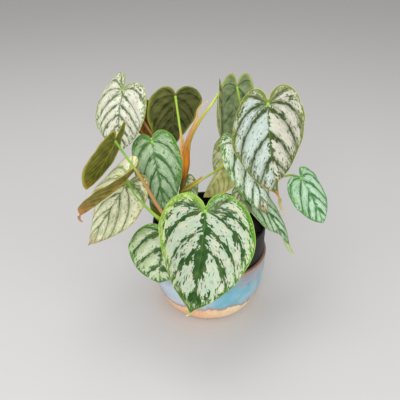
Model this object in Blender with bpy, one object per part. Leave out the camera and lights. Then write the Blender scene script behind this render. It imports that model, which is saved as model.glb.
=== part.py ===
"""Philodendron brandtianum in a black nursery pot that stands in a glazed cachepot.

The origin is the middle of the cachepot's flat foot, on the surface it stands
on. +Z is up, and the leaf that hangs over the front of the pot faces -Y.
Sizes below are in millimetres and are turned into metres when a mesh is made.
"""

import math
import random

import bmesh
import bpy
import numpy as np
from mathutils import Vector

MM = 0.001
GAP = 0.4

# Cachepot, a stoneware cup with a rounded lower wall
CACHEPOT_HEIGHT = 69.0
CACHEPOT_RIM_RADIUS = 63.0
CACHEPOT_FOOT_RADIUS = 40.0
CACHEPOT_BELLY = 2.2
CACHEPOT_WALL = 4.2
CACHEPOT_FLOOR = 6.0
POT_SIDES = 40

# Nursery pot, thin plastic, 12 cm across its tall rim band, which clears the cachepot's lip
NURSERY_TOP = 101.5
NURSERY_BOTTOM = CACHEPOT_FLOOR + GAP
NURSERY_BASE_RADIUS = 44.5
NURSERY_NECK_RADIUS = 57.4
NURSERY_BAND_BOTTOM = CACHEPOT_HEIGHT + 0.8
NURSERY_BAND_RADIUS = 60.0
NURSERY_RIM_RADIUS = 60.6
NURSERY_WALL = 1.3
DRAIN_HOLES = 5
DRAIN_HOLE_RADIUS = 4.0
DRAIN_CIRCLE_RADIUS = 24.0

# Potting mix
SOIL_TOP = 86.0
SOIL_MOUND = 4.0
STEM_SUNK = 20.0

# Leaf blades
BLADE_THICKNESS = 0.75
BLADE_RAYS = 24
BLADE_RINGS = (0.34, 0.62, 0.84, 1.0)
SINUS_DEPTH = 0.045

# One half of the heart outline: across in half-widths, along in lengths
HEART = (
    (0.0, -SINUS_DEPTH),
    (0.07, -0.115),
    (0.24, -0.185),
    (0.44, -0.195),
    (0.65, -0.145),
    (0.83, -0.045),
    (0.95, 0.09),
    (1.0, 0.235),
    (0.975, 0.385),
    (0.88, 0.54),
    (0.715, 0.69),
    (0.50, 0.825),
    (0.27, 0.925),
    (0.10, 0.978),
    (0.0, 1.0),
)

# Every blade: where the petiole meets it, where its tip is, and which way its
# upper side faces (compass degrees from -Y towards +X, and degrees above level).
# bend arches it along the midrib, fold lifts each half into a V or lets it
# droop, curl turns each half on towards its margin, sway bows the midrib to
# the right and twist turns the tip. drip draws out the tip and lobes stretches
# the lobes. Left and right are as seen on the upper side with the tip down.
LEAVES = {
    "leaf_front": dict(
        base=(-5, -65, 151), tip=(-19, -118, 76), face=(-24, 32), width=96,
        bend=14, fold=(-8, 0), curl=(-4, -16), sway=3, lobes=(0.85, 1.05), twist=18,
        drip=(0.06, 0.06),
    ),
    "leaf_right_high": dict(
        base=(53, -10, 234), tip=(65, -50, 154), face=(-4, 24), width=75,
        bend=24, fold=(0, -14), curl=(-40, -18), sway=-3, drip=(0.15, 0.42), twist=-18,
    ),
    "leaf_right_back": dict(
        base=(28, 52, 231), tip=(21, 68, 155), face=(207, 13), width=44,
        bend=20, fold=(-2, 4), curl=(-14, -12), sway=-3, lobes=(1.1, 1.25),
    ),
    "leaf_edge_on": dict(
        base=(9, 20, 234), tip=(13, 29, 174), face=(84, 4), width=36,
        bend=5, fold=(4, 3), curl=(-8, 6), sway=-2, lobes=(0.9, 1.0), twist=4,
    ),
    "leaf_right_middle": dict(
        base=(31, 5, 184), tip=(57, -25, 124), face=(40, 31), width=54,
        bend=14, fold=(2, -4), curl=(-22, -20), lobes=(1.3, 1.0), twist=-12,
    ),
    "leaf_right_low": dict(
        base=(44, -8, 138), tip=(87, -34, 80), face=(42, 49), width=35,
        bend=8, fold=(2, -4), curl=(-9, -9), sway=2, drip=(0.34, 0.3), twist=-8,
    ),
    "leaf_far_right": dict(
        base=(94, 0, 151), tip=(119, -15, 106), face=(32, 22), width=44,
        bend=20, fold=(-2, -3), curl=(-22, -20), lobes=(0.65, 0.95), twist=12,
    ),
    "leaf_left_high": dict(
        base=(-88, 40, 231), tip=(-91, 15, 175), face=(-30, 16), width=63,
        bend=26, fold=(8, 3), curl=(-20, -15), sway=-2, lobes=(1.85, 0.6), twist=-18,
    ),
    "leaf_back_dark": dict(
        base=(-35, 32, 228), tip=(-41, 55, 160), face=(206, 18), width=60,
        bend=28, fold=(6, 2), curl=(-25, -8), sway=-1, lobes=(0.95, 1.1), twist=-16,
    ),
    "leaf_centre_left": dict(
        base=(-59, 15, 185), tip=(-45, -15, 119), face=(-2, 23), width=54,
        bend=22, fold=(-9, -7), curl=(-19, -10), lobes=(0.7, 0.75), twist=-7,
    ),
    "leaf_left_olive": dict(
        base=(-86, -44, 212), tip=(-120, -32, 155), face=(-126, 30), width=47,
        bend=4, fold=(8, 4), curl=(7, 2), sway=-4, lobes=(1.5, 1.3), twist=20,
    ),
    "leaf_left_brown": dict(
        base=(-79, -38, 170), tip=(-128, -43, 131), face=(-92, 61), width=54,
        bend=10, fold=(38, 46), curl=(-37, -24), sway=7, lobes=(1.3, 1.3), twist=20,
        drip=(0.12, 0.12),
    ),
    "leaf_left_pale": dict(
        base=(-86, -10, 147), tip=(-124, -38, 93), face=(-50, 34), width=71,
        bend=4, fold=(-5, 4), curl=(-3, -23), lobes=(0.95, 1.45), twist=22,
        drip=(0.08, 0.08),
    ),
    "leaf_left_low": dict(
        base=(-46, -44, 114), tip=(-49, -82, 81), face=(-9, 42), width=74,
        bend=8, fold=(-4, 0), curl=(-22, -2), lobes=(0.95, 1.0),
    ),
    "leaf_centre_olive": dict(
        base=(17, 20, 156), tip=(-6, 22, 116), face=(188, -16), width=42,
        bend=8, fold=(-3, 84), curl=(-10, 10), lobes=(0.7, 0.4), twist=8,
    ),
    "leaf_behind_right": dict(
        base=(24, 46, 170), tip=(10, 40, 130), face=(-20, 26), width=34,
        bend=12, fold=(0, 0), curl=(-12, -12),
    ),
    "leaf_low_pale": dict(
        base=(31, -8, 139), tip=(36, -26, 112), face=(10, 35), width=20,
        bend=14, fold=(0, 0), curl=(-12, -12),
    ),
    "leaf_small_middle": dict(
        base=(-24, 27, 135), tip=(-17, 14, 112), face=(10, 40), width=20,
        bend=12, fold=(0, 0), curl=(-12, -12),
    ),
    "leaf_copper": dict(
        base=(-75, 60, 206), tip=(-65, 64, 168), face=(190, 10), width=34,
        bend=12, fold=(0, 0), curl=(-8, -8),
    ),
    "leaf_shade": dict(
        base=(-53, 2, 132), tip=(-53, -8, 102), face=(170, 20), width=22,
        bend=12, fold=(0, 0), curl=(-8, -8),
    ),
}

# Every shoot: the points its stem passes from the soil up, with its radii, then
# the petiole of each leaf as the points it passes from the stem, with its radii
SHOOTS = {
    "shoot_centre": dict(
        foot=(-31, 8),
        stem=((-31, 8, 105), (-30, 8, 128), (-26, 10, 146), (-24, 11, 162), (-24, 12, 178)),
        radii=(3.0, 2.9, 2.6, 2.6, 3.7, 3.2),
        petioles={
            "leaf_back_dark": (((-25, 11, 165), (-27, 14, 182), (-30, 18, 197)), (2.2, 1.6, 1.3)),
            "leaf_edge_on": (
                ((-23, 12, 165), (-20, 12, 188), (-10, 12, 209), (1, 10, 226)),
                (2.2, 1.8, 1.4),
            ),
            "leaf_centre_olive": (((-31, 8, 130), (-20, 4, 138), (-7, 2, 149)), (2.6, 2.1, 1.2)),
            "leaf_centre_left": (((-29, 9, 135), (-40, 22, 150), (-54, 24, 172)), (1.8, 1.4, 1.2)),
            "leaf_left_high": (
                ((-28, 9, 140), (-48, 26, 168), (-68, 36, 197), (-82, 45, 218)),
                (1.8, 1.5, 1.3),
            ),
            "leaf_copper": (
                ((-28, 9, 136), (-46, 36, 148), (-68, 52, 170), (-77, 54, 192)),
                (1.5, 1.2, 1.1),
            ),
            "leaf_small_middle": (((-31, 8, 108), (-31, 20, 120), (-26, 30, 136)), (1.3, 1.0)),
        },
    ),
    "shoot_left": dict(
        foot=(-32, -20),
        stem=((-32, -20, 105), (-36, -28, 122)),
        radii=(2.8, 2.7, 2.4),
        petioles={
            "leaf_left_olive": (
                ((-36, -28, 118), (-46, -48, 139), (-64, -58, 184), (-74, -52, 197)),
                (2.0, 1.7, 1.2),
            ),
            "leaf_left_brown": (
                ((-36, -27, 114), (-47, -46, 130), (-57, -50, 142), (-71, -47, 158)),
                (2.0, 1.8, 1.1),
            ),
            "leaf_left_pale": (((-34, -25, 107), (-53, -15, 111), (-76, -3, 129)), (1.8, 1.4, 1.2)),
            "leaf_left_low": (((-33, -23, 106), (-41, -33, 108)), (1.7, 1.3)),
            "leaf_shade": (((-33, -22, 108), (-46, -6, 122)), (1.4, 1.1)),
        },
    ),
    "shoot_front": dict(
        foot=(-6, -20),
        stem=((-6, -20, 104), (-6, -24, 118)),
        radii=(2.6, 2.5, 2.2),
        petioles={
            "leaf_front": (((-6, -23, 114), (-6, -38, 134), (-5, -54, 145)), (2.0, 1.6, 1.5)),
        },
    ),
    "shoot_right": dict(
        foot=(28, 4),
        stem=((28, 4, 105), (30, 4, 122)),
        radii=(3.0, 2.9, 2.6),
        petioles={
            "leaf_right_high": (((30, 4, 118), (44, 28, 168), (54, 22, 214)), (2.0, 1.6, 1.4)),
            "leaf_right_back": (((30, 4, 118), (37, 22, 160), (33, 38, 207)), (2.0, 1.5, 1.3)),
            "leaf_right_middle": (((30, 4, 115), (32, 2, 142), (31, 9, 165)), (1.8, 1.4, 1.3)),
            "leaf_right_low": (((30, 4, 112), (38, 4, 130)), (1.7, 1.2)),
            "leaf_far_right": (((30, 4, 110), (56, 12, 136), (82, 8, 150)), (1.7, 1.4, 1.2)),
            "leaf_behind_right": (((30, 4, 112), (43, 28, 132), (34, 50, 152)), (1.5, 1.2, 1.0)),
            "leaf_low_pale": (((29, 4, 112), (26, 6, 128)), (1.5, 1.0)),
        },
    ),
}

# The dry sheath that still stands beside the tall petiole in the middle
CATAPHYLL_ROUTE = (
    (-27.5, 8, 172),
    (-24, 6.5, 186),
    (-19, 6, 200),
    (-13, 6, 214),
    (-12, 5, 222),
    (-8, 4, 228),
    (-2, 4, 232),
)
CATAPHYLL_RADII = (1.4, 2.0, 1.9, 1.4, 0.5)

# Colours as they look in daylight, red, green and blue out of 255
GLAZE = (126, 160, 176)
NURSERY_PLASTIC = (38, 38, 40)
POTTING_MIX = (50, 40, 32)
STEM = (150, 148, 62)
DRY_SHEATH = (190, 136, 92)

# Each blade's upper side, between its silver and its green, and its underside
LEAF_COLOURS = {
    "leaf_front": ((160, 180, 150), (118, 122, 60)),
    "leaf_right_high": ((185, 192, 172), (120, 120, 70)),
    "leaf_right_back": ((150, 165, 120), (112, 122, 84)),
    "leaf_edge_on": ((140, 160, 110), (70, 84, 52)),
    "leaf_right_middle": ((188, 205, 185), (130, 130, 80)),
    "leaf_right_low": ((150, 185, 150), (120, 130, 80)),
    "leaf_far_right": ((145, 190, 155), (110, 130, 80)),
    "leaf_left_high": ((205, 210, 180), (130, 125, 70)),
    "leaf_back_dark": ((130, 150, 100), (62, 66, 34)),
    "leaf_centre_left": ((120, 160, 110), (90, 100, 50)),
    "leaf_left_olive": ((150, 160, 90), (104, 100, 34)),
    "leaf_left_brown": ((205, 205, 140), (120, 92, 44)),
    "leaf_left_pale": ((190, 200, 160), (130, 120, 60)),
    "leaf_left_low": ((140, 170, 130), (100, 110, 60)),
    "leaf_centre_olive": ((150, 165, 100), (140, 142, 70)),
    "leaf_behind_right": ((170, 178, 130), (120, 120, 70)),
    "leaf_low_pale": ((190, 190, 150), (130, 120, 80)),
    "leaf_small_middle": ((170, 180, 140), (110, 110, 60)),
    "leaf_copper": ((150, 110, 60), (130, 84, 36)),
    "leaf_shade": ((90, 90, 40), (74, 66, 30)),
}


def clear_scene():
    for obj in list(bpy.data.objects):
        bpy.data.objects.remove(obj, do_unlink=True)


def material(name, seen, roughness, metallic=0.0):
    """A Principled material from a colour as seen, out of 255."""
    shares = [channel / 255 for channel in seen]
    linear = [s / 12.92 if s <= 0.04045 else ((s + 0.055) / 1.055) ** 2.4 for s in shares]
    colour = (*linear, 1.0)
    made = bpy.data.materials.new(name)
    made.use_nodes = True
    shader = made.node_tree.nodes["Principled BSDF"]
    shader.inputs["Base Color"].default_value = colour
    shader.inputs["Roughness"].default_value = roughness
    shader.inputs["Metallic"].default_value = metallic
    made.diffuse_color = colour
    return made


def new_object(name, points, faces, surface):
    """An object from points in millimetres, its faces turned outwards."""
    mesh = bpy.data.meshes.new(name)
    mesh.from_pydata([Vector(p) * MM for p in points], [], faces)
    work = bmesh.new()
    work.from_mesh(mesh)
    bmesh.ops.recalc_face_normals(work, faces=work.faces)
    work.to_mesh(mesh)
    work.free()
    if surface:
        mesh.materials.append(surface)
    mesh.shade_smooth()
    mesh.set_sharp_from_angle(angle=math.radians(40))
    obj = bpy.data.objects.new(name, mesh)
    bpy.context.scene.collection.objects.link(obj)
    return obj


def apply_modifiers(obj):
    graph = bpy.context.evaluated_depsgraph_get()
    done = bpy.data.meshes.new_from_object(obj.evaluated_get(graph), depsgraph=graph)
    obj.modifiers.clear()
    obj.data = done


def combine(obj, others, operation):
    """Joins the other solids to this one, or cuts them from it, and removes them."""
    group = bpy.data.collections.new(obj.name + "_others")
    bpy.context.scene.collection.children.link(group)
    for other in others:
        bpy.context.scene.collection.objects.unlink(other)
        group.objects.link(other)
        other.hide_render = True
        other.display_type = "WIRE"
    modifier = obj.modifiers.new(operation.lower(), "BOOLEAN")
    modifier.operation = operation
    modifier.operand_type = "COLLECTION"
    modifier.collection = group
    modifier.solver = "EXACT"
    bpy.context.view_layer.update()
    apply_modifiers(obj)
    for other in list(group.objects):
        bpy.data.objects.remove(other, do_unlink=True)
    bpy.data.collections.remove(group)


def turned(name, profile, sides, surface):
    """A solid turned about Z from (radius, height) points, closed at both ends on the axis."""
    points = []
    faces = []
    rings = []
    for radius, height in profile:
        if radius == 0:
            rings.append([len(points)] * sides)
            points.append((0.0, 0.0, height))
            continue
        rings.append(list(range(len(points), len(points) + sides)))
        for i in range(sides):
            angle = 2 * math.pi * i / sides
            points.append((radius * math.cos(angle), radius * math.sin(angle), height))
    for lower, upper in zip(rings, rings[1:]):
        for i in range(sides):
            j = (i + 1) % sides
            corners = (lower[i], lower[j], upper[j], upper[i])
            faces.append(tuple(dict.fromkeys(corners)))
    return new_object(name, points, faces, surface)


def cylinder(name, centre, radius, bottom, top, sides=16):
    angles = [2 * math.pi * i / sides for i in range(sides)]
    ring = [(centre[0] + radius * math.cos(a), centre[1] + radius * math.sin(a)) for a in angles]
    points = [(x, y, bottom) for x, y in ring] + [(x, y, top) for x, y in ring]
    faces = [tuple(range(sides)), tuple(range(sides, 2 * sides))]
    for i in range(sides):
        j = (i + 1) % sides
        faces.append((i, j, sides + j, sides + i))
    return new_object(name, points, faces, None)


def cachepot_radius(height):
    """The cachepot's outer radius: it rounds out quickly from the foot, then stands nearly straight."""
    share = min(max(height / CACHEPOT_HEIGHT, 0.0), 1.0)
    swell = (1 - (1 - share) ** CACHEPOT_BELLY) ** (1 / CACHEPOT_BELLY)
    return CACHEPOT_FOOT_RADIUS + (CACHEPOT_RIM_RADIUS - CACHEPOT_FOOT_RADIUS) * swell


def make_cachepot(surface):
    outer = [(0.0, 0.0), (CACHEPOT_FOOT_RADIUS - 1.5, 0.0)]
    for height in (1.4, 5.0, 12.0, 24.0, 42.0, CACHEPOT_HEIGHT - 2.0):
        outer.append((cachepot_radius(height), height))
    middle = CACHEPOT_RIM_RADIUS - CACHEPOT_WALL / 2
    rim = [
        (middle + 1.3, CACHEPOT_HEIGHT),
        (middle - 1.3, CACHEPOT_HEIGHT),
        (CACHEPOT_RIM_RADIUS - CACHEPOT_WALL, CACHEPOT_HEIGHT - 2.0),
    ]
    inner = []
    for height in (42.0, 24.0, 13.0):
        inner.append((cachepot_radius(height) - CACHEPOT_WALL, height))
    inner.append((cachepot_radius(CACHEPOT_FLOOR) - CACHEPOT_WALL, CACHEPOT_FLOOR))
    inner.append((0.0, CACHEPOT_FLOOR))
    return turned("cachepot", outer + rim + inner, POT_SIDES, surface)


def nursery_radius(height):
    """The nursery pot's outer radius below its rim band."""
    share = (height - NURSERY_BOTTOM) / (NURSERY_BAND_BOTTOM - NURSERY_BOTTOM)
    return NURSERY_BASE_RADIUS + (NURSERY_NECK_RADIUS - NURSERY_BASE_RADIUS) * share


def make_nursery_pot(surface):
    floor = NURSERY_BOTTOM + NURSERY_WALL
    inside = NURSERY_BAND_BOTTOM + 1.6
    profile = [
        (0.0, NURSERY_BOTTOM),
        (NURSERY_BASE_RADIUS, NURSERY_BOTTOM),
        (NURSERY_NECK_RADIUS, NURSERY_BAND_BOTTOM),
        (NURSERY_BAND_RADIUS, NURSERY_BAND_BOTTOM),
        (NURSERY_RIM_RADIUS, NURSERY_TOP - 0.8),
        (NURSERY_RIM_RADIUS - 0.5, NURSERY_TOP),
        (NURSERY_RIM_RADIUS - NURSERY_WALL - 0.4, NURSERY_TOP),
        (NURSERY_BAND_RADIUS - NURSERY_WALL, inside),
        (NURSERY_NECK_RADIUS - NURSERY_WALL, inside - 1.6),
        (nursery_radius(floor) - NURSERY_WALL, floor),
        (0.0, floor),
    ]
    pot = turned("nursery_pot", profile, POT_SIDES, surface)
    drains = []
    for i in range(DRAIN_HOLES):
        angle = 2 * math.pi * i / DRAIN_HOLES
        centre = (DRAIN_CIRCLE_RADIUS * math.cos(angle), DRAIN_CIRCLE_RADIUS * math.sin(angle))
        low = NURSERY_BOTTOM - 3
        drains.append(cylinder(f"drain_{i}", centre, DRAIN_HOLE_RADIUS, low, floor + 3, 10))
    combine(pot, drains, "DIFFERENCE")
    return pot


def make_soil(surface):
    """The root ball, with an uneven mounded top and a plain hole for every stem."""
    rng = random.Random(11)
    bottom = NURSERY_BOTTOM + NURSERY_WALL + GAP
    clear = NURSERY_WALL + GAP
    edge = NURSERY_BAND_RADIUS - clear
    profile = [
        (0.0, bottom),
        (nursery_radius(bottom) - clear, bottom),
        (NURSERY_NECK_RADIUS - clear, NURSERY_BAND_BOTTOM),
        (edge, NURSERY_BAND_BOTTOM + 2.4),
        (edge, SOIL_TOP),
    ]
    for share in (0.8, 0.55, 0.28):
        profile.append((edge * share, SOIL_TOP + SOIL_MOUND * (1 - share * share)))
    profile.append((0.0, SOIL_TOP + SOIL_MOUND))
    soil = turned("soil", profile, POT_SIDES, surface)
    for vertex in soil.data.vertices:
        reach = math.hypot(vertex.co.x, vertex.co.y) / MM
        if vertex.co.z > SOIL_TOP * MM and reach < edge - 2:
            vertex.co.z += rng.uniform(-1.2, 1.2) * MM
    holes = []
    for name, shoot in SHOOTS.items():
        radius = shoot["radii"][0] + 0.5
        low = SOIL_TOP - STEM_SUNK - GAP
        holes.append(cylinder(name + "_hole", shoot["foot"], radius, low, SOIL_TOP + 20))
    combine(soil, holes, "DIFFERENCE")
    return soil


def smooth_route(points, steps):
    """Points along a smooth curve that passes through every given one."""
    given = [Vector(p) for p in points]
    given = [2 * given[0] - given[1]] + given + [2 * given[-1] - given[-2]]
    route = []
    for i in range(1, len(given) - 2):
        before, start, end, after = given[i - 1 : i + 3]
        for step in range(steps):
            t = step / steps
            route.append(
                0.5
                * (
                    2 * start
                    + (end - before) * t
                    + (2 * before - 5 * start + 4 * end - after) * t * t
                    + (3 * start - before - 3 * end + after) * t * t * t
                )
            )
    route.append(given[-2])
    return route


def tube(name, route, radii, sides, surface, flat=1.0):
    """A closed tube along the route, its radius read evenly from the list."""
    points = []
    faces = []
    across = None
    for i, place in enumerate(route):
        ahead = route[min(i + 1, len(route) - 1)] - route[max(i - 1, 0)]
        ahead.normalize()
        if across is None:
            across = Vector((1, 0, 0)) if abs(ahead.x) < 0.9 else Vector((0, 1, 0))
        across = (across - ahead * across.dot(ahead)).normalized()
        other = ahead.cross(across)
        along = i / (len(route) - 1) * (len(radii) - 1)
        low = min(int(along), len(radii) - 2)
        radius = radii[low] + (radii[low + 1] - radii[low]) * (along - low)
        for k in range(sides):
            angle = 2 * math.pi * (k + 0.5) / sides
            side = across * math.cos(angle) * radius + other * math.sin(angle) * radius * flat
            points.append(place + side)
    for i in range(len(route) - 1):
        for k in range(sides):
            n = (k + 1) % sides
            a = i * sides
            faces.append((a + k, a + n, a + sides + n, a + sides + k))
    faces.append(tuple(range(sides)))
    last = (len(route) - 1) * sides
    faces.append(tuple(range(last, last + sides)))
    return new_object(name, points, faces, surface)


def unit(v):
    v = np.asarray(v, float)
    return v / np.linalg.norm(v)


def half_outline(count, drip, lobe):
    """Points down one half of a heart-shaped blade from its tip, as (half-widths, lengths)."""
    knots = np.array(HEART)[::-1].copy()
    knots[:, 1] = np.where(knots[:, 1] < 0, knots[:, 1] * lobe, knots[:, 1])
    if drip:
        widest = 0.235
        drawn = (knots[:, 1] > widest) & (knots[:, 1] < 1)
        knots[drawn, 1] = widest + (knots[drawn, 1] - widest) * (1 - 0.5 * drip)
        knots[1:6, 0] *= 1 - drip * np.array([1.2, 0.7, 0.3, 0.22, 0.14])
    spread = np.vstack([knots[1] * (-1, 1), knots, knots[-2] * (-1, 1)])
    fine = []
    for i in range(1, len(spread) - 2):
        before, start, end, after = spread[i - 1 : i + 3]
        for t in np.linspace(0, 1, 16, endpoint=False):
            fine.append(
                0.5
                * (
                    2 * start
                    + (end - before) * t
                    + (2 * before - 5 * start + 4 * end - after) * t**2
                    + (3 * start - before - 3 * end + after) * t**3
                )
            )
    fine.append(spread[-2])
    fine = np.array(fine)
    travelled = np.concatenate([[0], np.cumsum(np.hypot(*np.diff(fine, axis=0).T))])
    wanted = np.linspace(0, travelled[-1], count)
    return np.stack([np.interp(wanted, travelled, fine[:, k]) for k in (0, 1)], -1)


def heart_outline(count, leaf):
    """Points round the blade, the tip first and then up its right side."""
    left_drip, right_drip = leaf.get("drip", (0.0, 0.0))
    left_lobe, right_lobe = leaf.get("lobes", (1.0, 1.0))
    right = half_outline(count // 2 + 1, right_drip, right_lobe)
    left = half_outline(count // 2 + 1, left_drip, left_lobe) * (-1, 1)
    sinus = (right[-1] + left[-1]) / 2
    return np.vstack([right[:-1], [sinus], left[1:-1][::-1]])


def leaf_frame(leaf):
    """The blade's base, chord direction, upper normal, right-hand side and lengths."""
    base = np.array(leaf["base"], float)
    chord = np.array(leaf["tip"], float) - base
    along = unit(chord)
    turn, rise = np.radians(leaf["face"])
    upper = np.array(
        [math.sin(turn) * math.cos(rise), -math.cos(turn) * math.cos(rise), math.sin(rise)]
    )
    upper = unit(upper - along * (upper @ along))
    bend = math.radians(leaf["bend"])
    length = np.linalg.norm(chord) * (bend / 2) / math.sin(bend / 2)
    return base, along, upper, np.cross(upper, along), bend, length


def blade_point(leaf, x, y):
    """Where a flat blade's points (mm across, mm along) lie in space, and the upper normal there."""
    base, along, upper, right, bend, length = leaf_frame(leaf)
    half = leaf["width"] / 2
    x = np.asarray(x, float)
    y = np.asarray(y, float)
    arc = bend * (y / length - 0.5)
    start = -bend / 2
    forward = (np.sin(arc) - math.sin(start)) * length / bend
    lift = (np.cos(arc) - math.cos(start)) * length / bend
    normal = np.sin(arc)[..., None] * along + np.cos(arc)[..., None] * upper
    middle = base + forward[..., None] * along + lift[..., None] * upper
    middle = middle + (leaf.get("sway", 0.0) * 4 * y / length * (1 - y / length))[..., None] * right
    out = np.abs(x) / half
    fold = np.radians(np.where(x < 0, leaf["fold"][0], leaf["fold"][1]))
    curl = np.radians(np.where(x < 0, leaf["curl"][0], leaf["curl"][1]))
    curl = np.where(np.abs(curl) < 1e-3, 1e-3, curl)
    turned_to = fold + curl * out
    reach = (np.sin(turned_to) - np.sin(fold)) * half / curl
    height = -(np.cos(turned_to) - np.cos(fold)) * half / curl
    twist = math.radians(leaf.get("twist", 0.0)) * (y / length - 0.3)
    side = np.sign(x) * reach
    across = side * np.cos(twist) - height * np.sin(twist)
    above = side * np.sin(twist) + height * np.cos(twist)
    place = middle + across[..., None] * right + above[..., None] * normal
    return place, normal


def blade_mesh(leaf, rays, rings):
    """The blade's middle surface as a fan of rings about the petiole: points, triangles and the rim."""
    length = leaf_frame(leaf)[5]
    outline = heart_outline(rays, leaf)
    outline = outline * (leaf["width"] / 2, length)
    flat = [np.zeros((1, 2))]
    for share in rings:
        flat.append(outline * share)
    flat = np.vstack(flat)
    points, _ = blade_point(leaf, flat[:, 0], flat[:, 1])
    triangles = []
    for i in range(rays):
        j = (i + 1) % rays
        triangles.append((0, 1 + i, 1 + j))
        for ring in range(len(rings) - 1):
            a = 1 + ring * rays
            b = a + rays
            triangles.append((a + i, b + i, b + j))
            triangles.append((a + i, b + j, a + j))
    rim = [1 + (len(rings) - 1) * rays + i for i in range(rays)]
    return points, triangles, rim


def make_leaf(name, leaf, surfaces):
    points, triangles, rim = blade_mesh(leaf, BLADE_RAYS, BLADE_RINGS)
    faces = np.array(triangles)
    corner = np.cross(
        points[faces[:, 1]] - points[faces[:, 0]], points[faces[:, 2]] - points[faces[:, 0]]
    )
    normals = np.zeros_like(points)
    for k in range(3):
        np.add.at(normals, faces[:, k], corner)
    normals /= np.linalg.norm(normals, axis=1)[:, None]
    upper = leaf_frame(leaf)[2]
    if normals[0] @ upper < 0:
        normals = -normals
    count = len(points)
    shell = np.vstack(
        [points + normals * BLADE_THICKNESS / 2, points - normals * BLADE_THICKNESS / 2]
    )
    sides = [tuple(t) for t in triangles]
    sides += [(count + a, count + c, count + b) for a, b, c in triangles]
    for i, start in enumerate(rim):
        end = rim[(i + 1) % len(rim)]
        sides.append((start, end, count + end))
        sides.append((start, count + end, count + start))
    blade = new_object(name, shell, sides, surfaces[0])
    blade.data.materials.append(surfaces[1])
    under = np.zeros(len(sides), np.int32)
    under[len(triangles) : 2 * len(triangles)] = 1
    blade.data.polygons.foreach_set("material_index", under)
    return blade


def petiole_end(leaf, last, radius):
    """Where a petiole stops just under the blade."""
    base, along, upper, _, bend, _ = leaf_frame(leaf)
    normal = -math.sin(bend / 2) * along + math.cos(bend / 2) * upper
    coming = unit(base - np.array(last, float))
    tilt = math.sqrt(max(0.0, 1 - float(coming @ normal) ** 2))
    droop = max(0.0, -math.sin(math.radians(min(leaf["fold"]))))
    return base - normal * (BLADE_THICKNESS / 2 + GAP + radius * (tilt + droop))


def make_shoot(name, shoot, surface):
    """A stem and the petioles that grow from it, as one body."""
    x, y = shoot["foot"]
    sunk = [(x, y, SOIL_TOP - STEM_SUNK), (x, y, SOIL_TOP + 6)]
    route = smooth_route(sunk + list(shoot["stem"]), 3)
    stem = tube(name, route, shoot["radii"][:1] + shoot["radii"], 8, surface)
    petioles = []
    for leaf_name, (points, radii) in shoot["petioles"].items():
        end = petiole_end(LEAVES[leaf_name], points[-1], radii[-1])
        path = smooth_route(list(points) + [tuple(end)], 3)
        petioles.append(tube(leaf_name + "_petiole", path, radii + radii[-1:], 6, surface))
    combine(stem, petioles, "UNION")
    return stem


def main():
    clear_scene()
    make_cachepot(material("cachepot_glaze", GLAZE, 0.25))
    make_nursery_pot(material("nursery_plastic", NURSERY_PLASTIC, 0.45))
    make_soil(material("potting_mix", POTTING_MIX, 0.95))
    for name, shoot in SHOOTS.items():
        make_shoot(name, shoot, material(name + "_green", STEM, 0.5))
    route = smooth_route(CATAPHYLL_ROUTE, 3)
    dry = material("dry_sheath", DRY_SHEATH, 0.6)
    tube("cataphyll", route, CATAPHYLL_RADII, 8, dry, flat=0.6)
    for name, leaf in LEAVES.items():
        upper, under = LEAF_COLOURS[name]
        surfaces = (
            material(name + "_upper", upper, 0.55),
            material(name + "_under", under, 0.5),
        )
        make_leaf(name, leaf, surfaces)


main()
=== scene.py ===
"""The potted philodendron as it looks: veined blades, petioles, glaze and potting mix.

Every blade follows the same surface as its solid, with finer steps, sunken
veins and a gently waved margin. Sizes are in millimetres until a mesh is made.
"""

import math
import random
from collections import namedtuple
from types import SimpleNamespace

import bmesh
import bpy
import numpy as np
from mathutils import Matrix, Vector


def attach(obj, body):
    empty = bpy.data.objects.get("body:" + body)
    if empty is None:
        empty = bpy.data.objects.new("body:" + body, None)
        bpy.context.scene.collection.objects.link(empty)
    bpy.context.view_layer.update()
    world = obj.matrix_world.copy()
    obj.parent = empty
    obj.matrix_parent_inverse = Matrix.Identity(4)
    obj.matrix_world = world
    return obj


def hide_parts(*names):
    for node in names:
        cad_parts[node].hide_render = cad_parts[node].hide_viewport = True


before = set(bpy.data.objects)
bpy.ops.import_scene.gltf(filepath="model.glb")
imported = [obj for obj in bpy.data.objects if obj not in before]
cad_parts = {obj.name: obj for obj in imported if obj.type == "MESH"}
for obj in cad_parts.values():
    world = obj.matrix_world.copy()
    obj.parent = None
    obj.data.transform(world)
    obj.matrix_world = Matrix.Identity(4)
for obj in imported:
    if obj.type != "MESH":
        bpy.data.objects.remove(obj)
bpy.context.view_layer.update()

MM = 0.001

# One half of the heart outline from the sinus to the tip: across in half-widths, along in
# lengths. It is widest at WIDEST.
HEART = (
    (0, -0.045), (0.07, -0.115), (0.24, -0.185), (0.44, -0.195), (0.65, -0.145),
    (0.83, -0.045), (0.95, 0.09), (1, 0.235), (0.975, 0.385), (0.88, 0.54),
    (0.715, 0.69), (0.5, 0.825), (0.27, 0.925), (0.1, 0.978), (0, 1),
)
WIDEST = 0.235

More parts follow.
